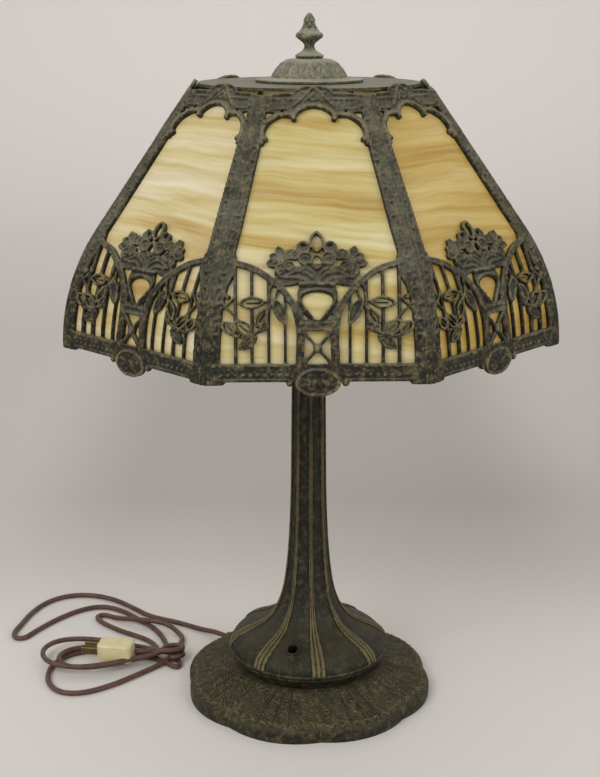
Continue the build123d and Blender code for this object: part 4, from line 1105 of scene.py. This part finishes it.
def paper_with_painted_light(name):
    """Pale paper with painted light: lightest near the front and up the wall, and a soft grey
    painted shadow of the lamp on it.

    The place along the paper is y + z, in metres from the lamp's axis; the painted shadow lies from
    0.3 to 1.4 m behind the lamp and fades out between 0.2 and 0.42 m to either side.
    """
    material, tree, shader = new_material(name, Roughness=0.9)
    place = add_node(tree, "ShaderNodeTexCoord").outputs["Object"]
    split = add_node(tree, "ShaderNodeSeparateXYZ", {"Vector": place}).outputs
    along = add_node(tree, "ShaderNodeMath", {0: split["Y"], 1: split["Z"]}, operation="ADD")
    part = add_node(tree, "ShaderNodeMapRange", {
        "Value": along.outputs[0], "From Min": -0.5, "From Max": 4.0}).outputs["Result"]
    # painted light: the paper is lighter near the front and up the wall, and darker in the band
    # between
    tone = add_node(tree, "ShaderNodeValToRGB", {"Fac": part}, [
        (0.13, srgb("#dfdbd7")), (0.18, srgb("#cfcac6")), (0.22, srgb("#c9c4c0")),
        (0.43, srgb("#c9c4c0")), (0.53, srgb("#d0ccc8")), (0.70, srgb("#d9d5d1")),
        (0.94, srgb("#efebe7"))]).outputs[0]
    # painted shadow of the lamp on the paper: a grey band behind it, kept to the lamp's width by
    # the fade to either side below
    behind = add_node(tree, "ShaderNodeValToRGB", {"Fac": part},
                      [(0.15, 0), (0.22, 0.36), (0.36, 0.36), (0.52, 0)])
    aside = add_node(tree, "ShaderNodeMath", {0: split["X"]}, operation="ABSOLUTE").outputs[0]
    near = add_node(tree, "ShaderNodeMapRange", {
        "Value": aside, "From Min": 0.2, "From Max": 0.42, "To Min": 1.0, "To Max": 0.0},
        interpolation_type="SMOOTHSTEP").outputs["Result"]
    painted_shadow = add_node(tree, "ShaderNodeMath", {0: behind.outputs[0], 1: near},
                     operation="MULTIPLY").outputs[0]
    # mixes in the grey of the painted shadow
    colour = add_node(tree, "ShaderNodeMix", {0: painted_shadow, 6: tone, 7: srgb("#7d766f")},
                      data_type="RGBA").outputs[2]
    tree.links.new(colour, shader.inputs["Base Color"])
    fibre = add_node(tree, "ShaderNodeTexNoise", {
        "Vector": place, "Scale": 1 / (3 * MM), "Detail": 3, "Roughness": 0.55}).outputs["Fac"]
    bump = add_node(tree, "ShaderNodeBump", {
        "Height": fibre, "Strength": 0.3, "Distance": 0.05 * MM}).outputs["Normal"]
    tree.links.new(bump, shader.inputs["Normal"])
    return material


sweep = backdrop()
dress(sweep, paper_with_painted_light("pale_paper_sweep"))

world = bpy.data.worlds.new("studio")
bpy.context.scene.world = world
world.use_nodes = True
sky = world.node_tree.nodes["Background"].inputs
sky["Color"].default_value = srgb("#f4f2ef")
sky["Strength"].default_value = 0.62


def soft_light(name, place, target, size, watts):
    """A square area light at a place, turned to a target, in metres."""
    lamp = bpy.data.lights.new(name, "AREA")
    lamp.size = size
    lamp.energy = watts
    piece = in_scene(name, lamp)
    piece.location = place
    way = np.array(target) - np.array(place)
    yaw = math.atan2(way[1], way[0])
    pitch = math.atan2(math.hypot(way[0], way[1]), -way[2])
    piece.rotation_euler = (pitch, 0, yaw - math.pi / 2)


soft_light("key", (-1.3, -1.7, 1.9), (0, 0, 0.3), 1.4, 26)
soft_light("fill", (1.7, -1.5, 1.2), (0, 0, 0.35), 1.6, 14)
soft_light("paper_wash", (0, 2.2, 2.3), (0, 2.7, 0), 1.8, 9)

bpy.context.scene.view_settings.view_transform = "Standard"
